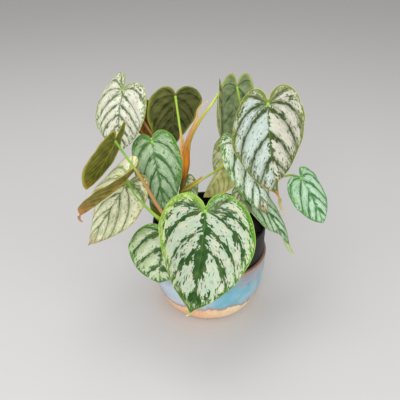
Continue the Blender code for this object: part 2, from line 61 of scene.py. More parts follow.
# Every blade: where the petiole meets it, where its tip is, and which way its
# upper side faces (compass degrees from -Y towards +X, and degrees above level).
# bend arches it along the midrib, fold lifts each half into a V or lets it
# droop, curl turns each half on towards its margin, sway bows the midrib to
# the right and twist turns the tip. drip draws out the tip and lobes stretches
# the lobes. Left and right are as seen on the upper side with the tip down.
Leaf = namedtuple(
    "Leaf", "base tip face width bend fold curl sway lobes twist drip",
    defaults=(0, (1, 1), 0, (0, 0)),
)
LEAVES = {
    "leaf_front": Leaf(
        (-5, -65, 151), (-19, -118, 76), (-24, 32), 96, 14, (-8, 0), (-4, -16),
        sway=3, lobes=(0.85, 1.05), twist=18, drip=(0.06, 0.06),
    ),
    "leaf_right_high": Leaf(
        (53, -10, 234), (65, -50, 154), (-4, 24), 75, 24, (0, -14), (-40, -18),
        sway=-3, twist=-18, drip=(0.15, 0.42),
    ),
    "leaf_right_back": Leaf(
        (28, 52, 231), (21, 68, 155), (207, 13), 44, 20, (-2, 4), (-14, -12),
        sway=-3, lobes=(1.1, 1.25),
    ),
    "leaf_edge_on": Leaf(
        (9, 20, 234), (13, 29, 174), (84, 4), 36, 5, (4, 3), (-8, 6),
        sway=-2, lobes=(0.9, 1), twist=4,
    ),
    "leaf_right_middle": Leaf(
        (31, 5, 184), (57, -25, 124), (40, 31), 54, 14, (2, -4), (-22, -20),
        lobes=(1.3, 1), twist=-12,
    ),
    "leaf_right_low": Leaf(
        (44, -8, 138), (87, -34, 80), (42, 49), 35, 8, (2, -4), (-9, -9),
        sway=2, twist=-8, drip=(0.34, 0.3),
    ),
    "leaf_far_right": Leaf(
        (94, 0, 151), (119, -15, 106), (32, 22), 44, 20, (-2, -3), (-22, -20),
        lobes=(0.65, 0.95), twist=12,
    ),
    "leaf_left_high": Leaf(
        (-88, 40, 231), (-91, 15, 175), (-30, 16), 63, 26, (8, 3), (-20, -15),
        sway=-2, lobes=(1.85, 0.6), twist=-18,
    ),
    "leaf_back_dark": Leaf(
        (-35, 32, 228), (-41, 55, 160), (206, 18), 60, 28, (6, 2), (-25, -8),
        sway=-1, lobes=(0.95, 1.1), twist=-16,
    ),
    "leaf_centre_left": Leaf(
        (-59, 15, 185), (-45, -15, 119), (-2, 23), 54, 22, (-9, -7), (-19, -10),
        lobes=(0.7, 0.75), twist=-7,
    ),
    "leaf_left_olive": Leaf(
        (-86, -44, 212), (-120, -32, 155), (-126, 30), 47, 4, (8, 4), (7, 2),
        sway=-4, lobes=(1.5, 1.3), twist=20,
    ),
    "leaf_left_brown": Leaf(
        (-79, -38, 170), (-128, -43, 131), (-92, 61), 54, 10, (38, 46), (-37, -24),
        sway=7, lobes=(1.3, 1.3), twist=20, drip=(0.12, 0.12),
    ),
    "leaf_left_pale": Leaf(
        (-86, -10, 147), (-124, -38, 93), (-50, 34), 71, 4, (-5, 4), (-3, -23),
        lobes=(0.95, 1.45), twist=22, drip=(0.08, 0.08),
    ),
    "leaf_left_low": Leaf(
        (-46, -44, 114), (-49, -82, 81), (-9, 42), 74, 8, (-4, 0), (-22, -2),
        lobes=(0.95, 1),
    ),
    "leaf_centre_olive": Leaf(
        (17, 20, 156), (-6, 22, 116), (188, -16), 42, 8, (-3, 84), (-10, 10),
        lobes=(0.7, 0.4), twist=8,
    ),
    "leaf_behind_right": Leaf((24, 46, 170), (10, 40, 130), (-20, 26), 34, 12, (0, 0), (-12, -12)),
    "leaf_low_pale": Leaf((31, -8, 139), (36, -26, 112), (10, 35), 20, 14, (0, 0), (-12, -12)),
    "leaf_small_middle": Leaf((-24, 27, 135), (-17, 14, 112), (10, 40), 20, 12, (0, 0), (-12, -12)),
    "leaf_copper": Leaf((-75, 60, 206), (-65, 64, 168), (190, 10), 34, 12, (0, 0), (-8, -8)),
    "leaf_shade": Leaf((-53, 2, 132), (-53, -8, 102), (170, 20), 22, 12, (0, 0), (-8, -8)),
}

# Colours that stems and petioles share
LIME = (164, 200, 62)
GREEN = (124, 172, 58)
MOSS = (118, 140, 44)
OLIVE = (124, 120, 16)
SALMON = (204, 144, 102)
ORANGE = (208, 126, 10)
RUST = (132, 72, 30)

# Every shoot: its stem from the soil up and the petiole of each leaf from the stem to
# its blade, as the points it passes, its radii and its colours
SHOOTS = {
    "shoot_centre": {
        "stem": (
            ((-31, 8, 105), (-30, 8, 128), (-26, 10, 146), (-24, 11, 162), (-24, 12, 178)),
            (3, 2.9, 2.6, 2.6, 3.7, 3.2),
            (OLIVE, OLIVE, OLIVE, (92, 76, 10), (116, 86, 12), ORANGE, ORANGE),
        ),
        "leaf_back_dark": (
            ((-25, 11, 165), (-27, 14, 182), (-30, 18, 197)), (2.2, 1.6, 1.3),
            (ORANGE, (206, 170, 100), (200, 206, 110), LIME, (164, 204, 60)),
        ),
        "leaf_edge_on": (
            ((-23, 12, 165), (-20, 12, 188), (-10, 12, 209), (1, 10, 226)), (2.2, 1.8, 1.4),
            (ORANGE, (196, 160, 40), (200, 190, 60), (206, 214, 90), (206, 216, 96)),
        ),
        "leaf_centre_olive": (
            ((-31, 8, 130), (-20, 4, 138), (-7, 2, 149)), (2.6, 2.1, 1.2),
            (OLIVE, (176, 176, 66), (186, 194, 76), LIME),
        ),
        "leaf_centre_left": (
            ((-29, 9, 135), (-40, 22, 150), (-54, 24, 172)), (1.8, 1.4, 1.2),
            (OLIVE, LIME, LIME),
        ),
        "leaf_left_high": (
            ((-28, 9, 140), (-48, 26, 168), (-68, 36, 197), (-82, 45, 218)), (1.8, 1.5, 1.3),
            (OLIVE, (176, 120, 60), LIME),
        ),
        "leaf_copper": (
            ((-28, 9, 136), (-46, 36, 148), (-68, 52, 170), (-77, 54, 192)), (1.5, 1.2, 1.1),
            (RUST, ORANGE, SALMON),
        ),
        "leaf_small_middle": (((-31, 8, 108), (-31, 20, 120), (-26, 30, 136)), (1.3, 1), (OLIVE, LIME)),
    },
    "shoot_left": {
        "stem": (((-32, -20, 105), (-36, -28, 122)), (2.8, 2.7, 2.4), (OLIVE, OLIVE, SALMON)),
        "leaf_left_olive": (
            ((-36, -28, 118), (-46, -48, 139), (-64, -58, 184), (-74, -52, 197)), (2, 1.7, 1.2),
            (SALMON, (204, 142, 104), (196, 136, 94), (182, 142, 72), (142, 174, 54), GREEN, GREEN),
        ),
        "leaf_left_brown": (
            ((-36, -27, 114), (-47, -46, 130), (-57, -50, 142), (-71, -47, 158)), (2, 1.8, 1.1),
            ((176, 170, 56), LIME, GREEN, GREEN),
        ),
        "leaf_left_pale": (
            ((-34, -25, 107), (-53, -15, 111), (-76, -3, 129)), (1.8, 1.4, 1.2),
            (OLIVE, LIME, LIME),
        ),
        "leaf_left_low": (((-33, -23, 106), (-41, -33, 108)), (1.7, 1.3), (OLIVE, LIME)),
        "leaf_shade": (((-33, -22, 108), (-46, -6, 122)), (1.4, 1.1), (RUST, OLIVE)),
    },
    "shoot_front": {
        "stem": (((-6, -20, 104), (-6, -24, 118)), (2.6, 2.5, 2.2), (OLIVE, MOSS, LIME)),
        "leaf_front": (
            ((-6, -23, 114), (-6, -38, 134), (-5, -54, 145)), (2, 1.6, 1.5),
            (OLIVE, LIME, LIME),
        ),
    },
    "shoot_right": {
        "stem": (((28, 4, 105), (30, 4, 122)), (3, 2.9, 2.6), (OLIVE, MOSS, MOSS)),
        "leaf_right_high": (
            ((30, 4, 118), (44, 28, 168), (54, 22, 214)), (2, 1.6, 1.4),
            (OLIVE, MOSS, LIME),
        ),
        "leaf_right_back": (
            ((30, 4, 118), (37, 22, 160), (33, 38, 207)), (2, 1.5, 1.3),
            (OLIVE, MOSS, LIME),
        ),
        "leaf_right_middle": (
            ((30, 4, 115), (32, 2, 142), (31, 9, 165)), (1.8, 1.4, 1.3),
            (OLIVE, MOSS, LIME),
        ),
        "leaf_right_low": (((30, 4, 112), (38, 4, 130)), (1.7, 1.2), (OLIVE, MOSS, LIME)),
        "leaf_far_right": (
            ((30, 4, 110), (56, 12, 136), (82, 8, 150)), (1.7, 1.4, 1.2),
            (OLIVE, LIME, LIME),
        ),
        "leaf_behind_right": (
            ((30, 4, 112), (43, 28, 132), (34, 50, 152)), (1.5, 1.2, 1),
            (OLIVE, LIME),
        ),
        "leaf_low_pale": (((29, 4, 112), (26, 6, 128)), (1.5, 1), (OLIVE, SALMON)),
    },
}
# Stems are a little thicker at their joints
JOINT_HEIGHTS = (112, 129, 148)

# How each blade is coloured, in red, green and blue out of 255, and how far the
# colours reach, in mm unless said otherwise.
# dark is the green beside the veins, rim the green near the margin (rim_left on the
# left half), silver and silver2 the tones of the patches, line the thin veins, lip
# the very margin, a pale line that is partly its own colour and partly painted rim
# highlight, rib the midrib, and under, under2 and under_line the underside.
# band, mid and edge are how wide the green is beside side veins, midrib and margin,
# jag how ragged its border is and soft how blurred. patch is the size of the blocks
# that the pattern is made of, and over zone the green breaks up around the margin.
# island is how rarely dark islands come (a higher number, fewer), speck the share of
# dark flecks, lobe and tip how much the silver shrinks in the lobes and at the tip.
# streak is how dark the streaks in the silver are, lined how plain the thin veins
# are, glow how far the silver turns to the lip's tone near the margin, hollow
# how much painted shade darkens the silver along the veins, and sided gives each half its own silver.
# tan and tan_edge are how dry the tip and the margin are, and tan_from where a dry
# tip starts. brim is how plain the pale border of the underside is, partly its own
# colour and partly painted highlight along the margin, and through how much light
# shines through. quilt is how far the blade swells between its veins,
# wave how far its margin waves and ripple how uneven its outline is.
# rise is how steeply the side veins leave the midrib, how much more they turn to the
# tip further out and how much steeper they get along the blade. left and right give
# where each side's veins start: below zero they fan from the petiole, above it they
# leave the midrib at that share of it. Each of pushes is a flat place, how far round
# it the outline moves, and how it moves.
PLAIN = dict(
    dark=(66, 104, 56), rim=(92, 136, 56), rim_left=None, silver=(206, 214, 196),
    silver2=(190, 202, 168), line=(58, 84, 48), lip=(176, 192, 112), rib=(120, 156, 90),
    under=(112, 116, 60), under2=(138, 140, 84), under_line=(84, 86, 40), band=1.2, mid=1.6, edge=1.8,
    jag=1.7, soft=0.45, patch=2.8, zone=2, island=0.76, speck=0.05, lobe=0, tip=0, streak=0.35,
    lined=0.7, glow=0.25, hollow=0.22, sided=False, tan=0, tan_edge=0, tan_from=0.78, brim=0.3,
    through=0.16, quilt=0.8, wave=0.7, ripple=0.006, rise=(0.28, 0.34, 0.34),
    left=(-1.15, -0.72, -0.38, 0.04, 0.22, 0.4, 0.58, 0.76),
    right=(-1.1, -0.76, -0.34, 0.08, 0.25, 0.43, 0.6, 0.78), pushes=(),
)
LOOKS = {
    "leaf_front": dict(
        dark=(32, 72, 18), rim=(80, 140, 24), rim_left=(134, 176, 56), silver=(176, 195, 170),
        silver2=(196, 199, 176), line=(62, 108, 44), lip=(196, 220, 116), rib=(72, 124, 48), band=2.6,
        mid=5.4, edge=4.2, jag=4.6, soft=0.2, patch=4.6, zone=6, island=0.66, speck=0.035, lobe=1.5,
        tip=6, streak=0.4, lined=0.35, glow=0.7, hollow=0.12, quilt=1.2, wave=1.2,
        rise=(0.2, 0.3, 0.62), left=(-1.05, -0.7, -0.4, -0.07, 0.19, 0.37, 0.82),
        right=(-1.05, -0.62, -0.27, -0.02, 0.17, 0.34, 0.82),
    ),
    "leaf_right_high": dict(
        dark=(54, 70, 18), rim=(114, 124, 40), silver=(188, 203, 194), silver2=(202, 201, 184),
        line=(60, 76, 32), lip=(212, 214, 144), rib=(96, 140, 50), band=1.25, mid=1.3, edge=5.8,
        jag=2.6, patch=3, zone=8, island=0.68, speck=0.035, lobe=1.4, streak=0.52, hollow=0.5,
        sided=True, tan=0.6, quilt=1.9, wave=1.2, rise=(0.28, 0.34, 0.5),
        left=(-1.1, -0.62, -0.29, 0.04, 0.32, 0.56, 0.8),
        right=(-1.1, -0.66, -0.32, 0.04, 0.3, 0.55, 0.8),
    ),
    "leaf_right_back": dict(
        lip=(202, 212, 120), under=(80, 108, 74), under2=(182, 198, 140), under_line=(58, 78, 46),
        brim=0.9, left=(-1.15, -0.55, 0, 0.34, 0.7), right=(-1.1, -0.5, 0.06, 0.4, 0.74),
    ),
    "leaf_edge_on": dict(
        dark=(96, 110, 60), rim=(146, 158, 76), silver=(168, 182, 130), silver2=(148, 160, 104),
        lip=(226, 232, 170), under=(160, 176, 116), under2=(184, 194, 132), under_line=(112, 126, 76),
        band=1.6, mid=2,
    ),
    "leaf_right_middle": dict(
        dark=(66, 104, 50), rim=(96, 142, 64), silver=(234, 248, 236), silver2=(216, 232, 208),
        line=(96, 136, 84), lip=(200, 214, 144), rib=(124, 164, 96), band=0.8, mid=1.1, edge=3.4,
        jag=1.9, patch=3.8, zone=4.5, glow=0.35, tan=0.35, left=(-1.15, -0.6, -0.1, 0.24, 0.5, 0.74),
        right=(-1.1, -0.62, -0.1, 0.26, 0.52, 0.76),
    ),
    "leaf_right_low": dict(
        dark=(58, 96, 50), rim=(92, 142, 64), silver=(204, 230, 198), silver2=(168, 206, 158),
        line=(70, 106, 66), lip=(186, 202, 140), rib=(140, 176, 120), band=0.8, mid=1, edge=1.6, zone=3,
        tan=0.3, rise=(0.4, 0.4, 0.5), left=(-1.1, -0.5, 0, 0.28, 0.56, 0.8),
        right=(-1.1, -0.5, 0.04, 0.32, 0.6, 0.82), pushes=((-9, 52, 8.5, 5.4, -1), (-3.5, 61, 5, 1, 0)),
    ),
    "leaf_far_right": dict(
        dark=(66, 126, 64), rim=(74, 138, 58), silver=(196, 224, 196), silver2=(166, 208, 168),
        line=(58, 110, 66), lip=(140, 186, 120), rib=(116, 170, 112), band=1.1, mid=1.3, edge=2.4,
        soft=0.9, zone=3, rise=(0.42, 0.42, 0.5), left=(-1.15, -0.6, 0, 0.3, 0.62),
        right=(-1.1, -0.5, 0.05, 0.36, 0.68),
    ),
    "leaf_left_high": dict(
        dark=(92, 110, 70), rim=(134, 148, 86), silver=(230, 230, 214), silver2=(218, 214, 194),
        line=(92, 110, 66), lip=(182, 194, 124), rib=(118, 140, 84), band=0.65, mid=0.8, edge=2,
        jag=2.5, soft=0.7, patch=2.4, zone=4, speck=0.08, streak=0.45, lined=0.42,
        pushes=((-9, -23.5, 5, -1, 3), (-17.5, -20.5, 5, -1.6, -0.8), (-25, -8.5, 5, 2, 0.3)),
    ),
    "leaf_back_dark": dict(
        lip=(172, 178, 74), under=(58, 66, 24), under2=(134, 136, 78), under_line=(40, 46, 16),
        brim=0.85, quilt=1.1, ripple=0.02,
    ),
    "leaf_centre_left": dict(
        dark=(62, 108, 48), rim=(88, 144, 52), silver=(172, 196, 156), silver2=(148, 178, 136),
        line=(52, 92, 44), lip=(150, 190, 96), rib=(90, 134, 68), band=1.1, mid=1.7, edge=4.6, jag=2.7,
        soft=0.8, patch=3.2, zone=6, lobe=2.6, streak=0.55, rise=(0.28, 0.34, 0.6),
        left=(-1.15, -0.62, -0.2, 0.16, 0.38, 0.62), right=(-1.1, -0.6, -0.2, 0.18, 0.42, 0.66),
    ),
    "leaf_left_olive": dict(
        lip=(222, 208, 92), under=(74, 82, 14), under2=(150, 146, 56), under_line=(68, 72, 20), tan=0.3,
        brim=0.7, rise=(0.45, 0.4, 0.5),
    ),
    "leaf_left_brown": dict(
        dark=(158, 176, 92), rim=(190, 198, 112), silver=(255, 255, 230), silver2=(246, 250, 198),
        line=(176, 186, 110), lip=(206, 186, 100), under=(80, 84, 28), under2=(162, 142, 68),
        under_line=(84, 82, 32), band=0.7, mid=1, edge=0.8, soft=0.9, streak=0.2, glow=0.1, hollow=0.1,
        tan=0.8, tan_edge=0.15, tan_from=0.5, through=0.04,
    ),
    "leaf_left_pale": dict(
        dark=(94, 118, 58), rim=(130, 148, 74), silver=(240, 239, 206), silver2=(212, 218, 172),
        line=(78, 102, 46), lip=(206, 200, 124), rib=(118, 142, 76), band=0.5, mid=1, edge=1.2,
        # lobe here widens the green at the top of the blade: partly its own dark green, partly painted shade
        # under leaf_left_brown.
        soft=1.1, patch=3.2, zone=3, speck=0.09, lobe=3.4, streak=0.5, lined=0.42, tan=0.5,
        tan_edge=0.25, rise=(0.4, 0.36, 0.6), left=(-1.15, -0.62, -0.2, 0.12, 0.38, 0.66),
        right=(-1.1, -0.62, -0.2, 0.14, 0.4, 0.68),
    ),
    "leaf_left_low": dict(
        dark=(56, 92, 40), rim=(80, 142, 36), silver=(196, 208, 178), silver2=(176, 194, 148),
        line=(50, 76, 46), lip=(150, 190, 90), rib=(104, 144, 80), band=1.7, mid=1.9, edge=3.2, jag=2.4,
        soft=0.7, patch=3, zone=5, glow=0.4, quilt=1.4, rise=(0.22, 0.34, 0.34),
        left=(-1.1, -0.52, 0, 0.34, 0.66), right=(-1.1, -0.5, 0.04, 0.38, 0.7),
    ),
    "leaf_centre_olive": dict(
        lip=(230, 218, 88), under=(176, 180, 90), under2=(250, 248, 184), under_line=(164, 168, 86),
        brim=0.7, through=0.1,
    ),
    "leaf_behind_right": dict(
        dark=(132, 144, 86), rim=(138, 152, 80), silver=(226, 228, 192), silver2=(202, 210, 164),
        band=0.6, edge=3.4, jag=2.6, patch=3, zone=6, streak=0.25, lined=0.2, hollow=0.1,
        left=(-1.15, -0.5, 0.05, 0.42, 0.78), right=(-1.1, -0.5, 0.1, 0.46, 0.8),
    ),
    "leaf_low_pale": dict(
        dark=(176, 180, 130), silver=(252, 246, 232), silver2=(240, 236, 212), through=0.05,
    ),
    "leaf_small_middle": dict(
        dark=(170, 188, 126), silver=(252, 254, 236), silver2=(244, 248, 220), line=(110, 130, 84),
        band=0.6, mid=0.7, lined=0.4, hollow=0.1, through=0.05,
    ),
    "leaf_copper": dict(under=(136, 96, 34), under2=(166, 120, 48), under_line=(104, 76, 26), tan=0.4),
    "leaf_shade": dict(under=(104, 110, 32), under2=(122, 124, 44), under_line=(74, 78, 24)),
}

# The dry sheath that still stands beside the tall petiole in the middle, open at its front
SHEATH_ROUTE = (
    (-27.5, 8, 172), (-24, 6.5, 186), (-19, 6, 200), (-13, 6, 214), (-12, 5, 222), (-8, 4, 228), (-2, 4, 232),
)
SHEATH_WIDTHS = (1.5, 2, 1.6, 1.2, 0.9, 0.3)
SHEATH_FRONT = (0.25, -1, 0.2)

# Dry curled tips and scales: slot, route, half-widths, first and last colour
CURLS = {
    "tip_right_high": (
        "leaf_right_high",
        ((64.8, -49.6, 155.5), (65.4, -50.4, 150), (67.5, -51.5, 145), (70.5, -52, 141.5), (73, -51, 138)),
        (1.5, 1.5, 1.2, 0.9, 0.35), (150, 140, 70), (214, 196, 158),
    ),
    "tip_front": (
        "leaf_front",
        ((-18.9, -117.6, 77), (-19.8, -118.8, 75.4), (-21.4, -119.4, 74.8), (-22.8, -119.4, 74.6)),
        (1.2, 1, 0.7, 0.3), (128, 150, 60), (224, 206, 160),
    ),
    "tip_right_low": (
        "leaf_right_low",
        ((76.6, -27.8, 94), (80.4, -30, 88.4), (83.8, -32, 83.4), (86.2, -33.4, 79), (87, -34, 75.6)),
        (0.9, 1.9, 1.6, 1.2, 0.5), (150, 184, 112), (206, 206, 156),
    ),
    "tip_left_brown": (
        "leaf_left_brown",
        ((-127.5, -43, 131.8), (-127.4, -44, 129.6), (-125.6, -45.2, 127.6), (-123.4, -45.6, 126.6)),
        (1.5, 1.3, 0.9, 0.3), (150, 98, 48), (176, 122, 70),
    ),
    "scale_left": (
        "dry_sheath",
        ((-28.4, 8, 147), (-28.2, 8.4, 155), (-28.4, 8.8, 165), (-28.9, 11.2, 181), (-30.2, 16, 198)),
        (0.8, 1.7, 1.8, 1.5, 0.4), (190, 104, 30), (230, 176, 106),
    ),
    "scale_right": (
        "dry_sheath", ((-27, 5, 136.2), (-20, 2.8, 141.2), (-13, 1.6, 146.9), (-8, 1, 152.4)),
        (1.6, 2.3, 1.9, 0.5), (150, 132, 26), (216, 164, 84),
    ),
}

# A fine blade's points lie on rings round the petiole's end, each with the same rays
RAYS = 144
RINGS = 30
NEXT_TO_MARGIN = 0.985
MARGIN_SAMPLES = 600
THICKNESS, THINNER_AT_MARGIN = 0.42, 0.2
GROOVE_DEPTH, GROOVE_WIDTH = 0.6, 1.6
RIB_STEPS, RIB_SIDES, RIB_END, RIB_MARGIN = 26, 8, 0.86, 6.0
# Where the scale of vein starts ends beyond the lobe and beyond the tip
LOBE_END, TIP_END = -2.6, 1.16
# How far apart (mm) the two halves read the pattern, so that they differ
HALVES_APART = 20.0

# Stems start below the mix, and petioles end a little under their blades
STEM_FEET = (66, 92)
BELOW_BLADE = 0.6
STALK_SIDES, CURL_SIDES = 14, 12
SHEATH_STEPS, SHEATH_WRAP = 16, 250

CACHEPOT_HEIGHT, CACHEPOT_WALL = 69.0, 4.2
POT_LOW, POT_NECK, POT_BAND, POT_TOP = 6.4, 57.4, 69.8, 101.5
POT_FLOOR_HOLE = 14.0
SOIL_RADIUS, SOIL_EDGE_HEIGHT, SOIL_MOUND, SOIL_BOTTOM = 58.3, 86.0, 4.0, 8.4
CRUMBS, CRUMB_REACH, CRUMB_FREE = 300, 56.0, 6.0


def curve(knots, steps):
    """Points on a smooth curve through all the knots but the first and the last."""
    knots = np.asarray(knots, float)
    t = (np.arange(steps) / steps)[:, None]
    parts = []
    for before, start, end, after in zip(knots, knots[1:], knots[2:], knots[3:]):
        square = (2 * before - 5 * start + 4 * end - after) * t**2
        cube = (3 * start - before - 3 * end + after) * t**3
        parts.append(0.5 * (2 * start + (end - before) * t + square + cube))
    return np.vstack([*parts, knots[-2]])


def fine_route(points, steps=8):
    """Points along a smooth curve that passes through every given one."""
    given = np.array(points, float)
    return curve([2 * given[0] - given[1], *given, 2 * given[-1] - given[-2]], steps)


def travelled(route):
    """How far along the route each of its points lies."""
    return np.append(0, np.cumsum(np.linalg.norm(np.diff(route, axis=0), axis=1)))


def keyed(values, count):
    """The values, which are numbers or colours, spread evenly over count steps."""
    values = np.asarray(values, float)
    places = np.arange(len(values))
    wanted = np.linspace(0, len(values) - 1, count)
    return np.apply_along_axis(lambda column: np.interp(wanted, places, column), 0, values)


def unit(v):
    return v / np.linalg.norm(v)


def half_outline(count, drip, lobe):
    """Points down one half of a heart-shaped blade from its tip, as (half-widths, lengths)."""
    knots = np.array(HEART)[::-1].copy()
    knots[knots[:, 1] < 0, 1] *= lobe
    drawn = (knots[:, 1] > WIDEST) & (knots[:, 1] < 1)
    knots[drawn, 1] = WIDEST + (knots[drawn, 1] - WIDEST) * (1 - 0.5 * drip)
    knots[1:6, 0] *= 1 - drip * np.array([1.2, 0.7, 0.3, 0.22, 0.14])
    fine = curve([knots[1] * (-1, 1), *knots, knots[-2] * (-1, 1)], 16)
    passed = travelled(fine)
    wanted = np.linspace(0, passed[-1], count)
    return np.stack([np.interp(wanted, passed, column) for column in fine.T], -1)


def heart_outline(count, leaf):
    """Points round the blade, the tip first and then up its right side."""
    left, right = [half_outline(count // 2 + 1, *shape) for shape in zip(leaf.drip, leaf.lobes)]
    left = left * (-1, 1)
    sinus = (right[-1] + left[-1]) / 2
    return np.vstack([right[:-1], sinus, left[1:-1][::-1]])


def leaf_frame(leaf):
    """The blade's base, chord direction, upper normal, right-hand side, bend and length."""
    base = np.array(leaf.base, float)
    chord = np.array(leaf.tip, float) - base
    along = unit(chord)
    turn, rise = np.radians(leaf.face)
    upper = np.array([math.sin(turn) * math.cos(rise), -math.cos(turn) * math.cos(rise), math.sin(rise)])
    upper = unit(upper - along * (upper @ along))
    bend = math.radians(leaf.bend)
    length = np.linalg.norm(chord) * (bend / 2) / math.sin(bend / 2)
    return base, along, upper, np.cross(upper, along), bend, length


def blade_point(leaf, x, y):
    """Where a flat blade's points (mm across, mm along) lie in space."""
    base, along, upper, right, bend, length = leaf_frame(leaf)
    half = leaf.width / 2
    arc = bend * (y / length - 0.5)
    forward = (np.sin(arc) - math.sin(-bend / 2)) * length / bend
    lift = (np.cos(arc) - math.cos(-bend / 2)) * length / bend
    normal = np.sin(arc)[:, None] * along + np.cos(arc)[:, None] * upper
    sway = leaf.sway * 4 * y / length * (1 - y / length)
    middle = base + forward[:, None] * along + lift[:, None] * upper + sway[:, None] * right
    fold, curl = [np.radians(np.where(x < 0, *sides)) for sides in (leaf.fold, leaf.curl)]
    curl = np.where(np.abs(curl) < 1e-3, 1e-3, curl)
    turned_to = fold + curl * np.abs(x) / half
    side = np.sign(x) * (np.sin(turned_to) - np.sin(fold)) * half / curl
    height = -(np.cos(turned_to) - np.cos(fold)) * half / curl
    twist = math.radians(leaf.twist) * (y / length - 0.3)
    across = side * np.cos(twist) - height * np.sin(twist)
    above = side * np.sin(twist) + height * np.cos(twist)
    return middle + across[:, None] * right + above[:, None] * normal


def linear(seen):
    """Scene-linear colour from a colour as seen, out of 255."""
    shares = [channel / 255 for channel in seen]
    return (*[s / 12.92 if s <= 0.04045 else ((s + 0.055) / 1.055) ** 2.4 for s in shares], 1.0)


class Value:
    """An output of a look's node. Adding, taking away and multiplying make further nodes."""

    def __init__(self, look, socket):
        self.look = look
        self.socket = socket

    def __add__(self, other):
        return self.look.math("ADD", self, other)

    def __sub__(self, other):
        return self.look.math("SUBTRACT", self, other)

    def __mul__(self, other):
        return self.look.math("MULTIPLY", self, other)

    def step(self, low, high, start=0.0, end=1.0):
        """From start to end as this goes from low to high, smoothly."""
        return self.look.node("MapRange", self, low, high, start, end, interpolation_type="SMOOTHSTEP")


class Look:
    """A material's nodes, made by short calls that give back their outputs."""

    def __init__(self, name):
        self.material = bpy.data.materials.new(name)
        self.material.use_nodes = True
        self.tree = self.material.node_tree
        self.shader = self.tree.nodes["Principled BSDF"]

    def put(self, value, socket):
        if isinstance(value, Value):
            self.tree.links.new(value.socket, socket)
        elif isinstance(value, tuple) and socket.type == "RGBA":
            socket.default_value = linear(value)
        else:
            socket.default_value = value

    def node(self, kind, *first, output=0, inputs=(), **settings):
        """The output of a new node with these settings, first inputs and further inputs by name."""
        made = self.tree.nodes.new("ShaderNode" + kind)
        for key, value in settings.items():
            setattr(made, key, value)
        for key, value in [*enumerate(first), *dict(inputs).items()]:
            self.put(value, made.inputs[key])
        return Value(self, made.outputs[output])

    def math(self, operation, a, b=0.0):
        return self.node("Math", a, b, operation=operation)

    def mix(self, share, a, b):
        return self.node("Mix", share, inputs={6: a, 7: b}, output=2, data_type="RGBA")

    def layers(self, base, *coats):
        """The base with coats laid on it in turn, each given as its share and its colour."""
        for share, colour in coats:
            base = self.mix(share, base, colour)
        return base

    def field(self, name):
        return self.node("Attribute", attribute_name=name, output="Vector")

    def place(self):
        return self.node("TexCoord", output="Object")

    def split(self, vector):
        separate = self.node("SeparateXYZ", vector).socket.node
        return [Value(self, output) for output in separate.outputs]

    def scaled(self, vector, *factors):
        return self.node("VectorMath", vector, factors, operation="MULTIPLY")

    def noise(self, vector, scale, detail=2.0, roughness=0.5, distortion=0.0):
        inputs = dict(Scale=scale, Detail=detail, Roughness=roughness, Distortion=distortion)
        return self.node("TexNoise", vector, inputs=inputs)

    def streaks(self, vector, across, along, detail=2.0, scale=1.0):
        """Noise drawn out by different factors across and along the vector's field."""
        return self.noise(self.scaled(vector, across, along, 1), scale, detail)

    def cells(self, vector, scale=1.0):
        """A random number for each cell of an uneven tiling."""
        colour = self.node("TexVoronoi", vector, inputs={"Scale": scale}, output="Color")
        return self.node("SeparateColor", colour)

    def fibres(self, around, along, detail):
        """Where a stalk's points lie along it, and fine lines that run along it."""
        run, side, _ = self.split(self.field("run"))
        return run, self.noise(self.node("CombineXYZ", side * around, run * along), 1, detail)

    def finished(self, colour, bump=None, through=None, **inputs):
        """The material in this colour. bump is height, distance and strength.

        through is a colour and a share: that part of the light that falls on the far
        side shows here. The other inputs are the shader's own, with _ for a space.
        """
        if bump:
            height, distance, strength = bump
            given = dict(Height=height, Distance=distance, Strength=strength)
            inputs["Normal"] = self.node("Bump", inputs=given)
        for name, value in {"Base Color": colour, **inputs}.items():
            self.put(value, self.shader.inputs[name.replace("_", " ")])
        if through:
            glow = self.node("BsdfTranslucent", through[0])
            both = self.node("MixShader", through[1], Value(self, self.shader.outputs[0]), glow)
            self.put(both, self.tree.nodes["Material Output"].inputs["Surface"])
        return self.material


def finish_piece(name, mesh, materials, nodes=()):
    obj = bpy.data.objects.new(name, mesh)
    bpy.context.scene.collection.objects.link(obj)
    for material in materials:
        mesh.materials.append(material)
    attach(obj, "root")
    if nodes:
        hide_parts(*nodes)


def mesh_of(name, points, faces, sharp=None):
    mesh = bpy.data.meshes.new(name)
    mesh.from_pydata((np.asarray(points) * MM).tolist(), [], faces)
    work = bmesh.new()
    work.from_mesh(mesh)
    bmesh.ops.recalc_face_normals(work, faces=work.faces)
    work.to_mesh(mesh)
    work.free()
    mesh.shade_smooth()
    if sharp:
        mesh.set_sharp_from_angle(angle=math.radians(sharp))
    return mesh


def set_field(mesh, name, values, domain="POINT"):
    made = mesh.attributes.new(name, "FLOAT_VECTOR", domain)
    made.data.foreach_set("vector", np.ascontiguousarray(values, np.float32).ravel())


def round_pairs(sides):
    """Each place on a ring with the next one."""
    return [(i, (i + 1) % sides) for i in range(sides)]


def shifted(faces, by):
    return [tuple(by + v for v in face) for face in faces]


def vein_rise(look, out, y, length):
    """How far towards the tip, in lengths, a side vein has come since it left the midrib."""
    first, later, steeper = look.rise
    return (first + steeper * np.clip(y / length, 0, 1) ** 2) * out + later * out**3


def vein_index(look, x, y, side, half, length):
    """Which side vein a flat point lies at, counted from the lobe to the tip, on one side."""
    out = np.abs(x) / half
    start = y / length - vein_rise(look, out, y, length)
    start = np.where(start < 0, np.maximum(start / np.maximum(out, 1e-3), LOBE_END), start)
    places = (LOBE_END, *(look.left if side < 0 else look.right), TIP_END)
    return np.interp(start, places, np.arange(len(places)))


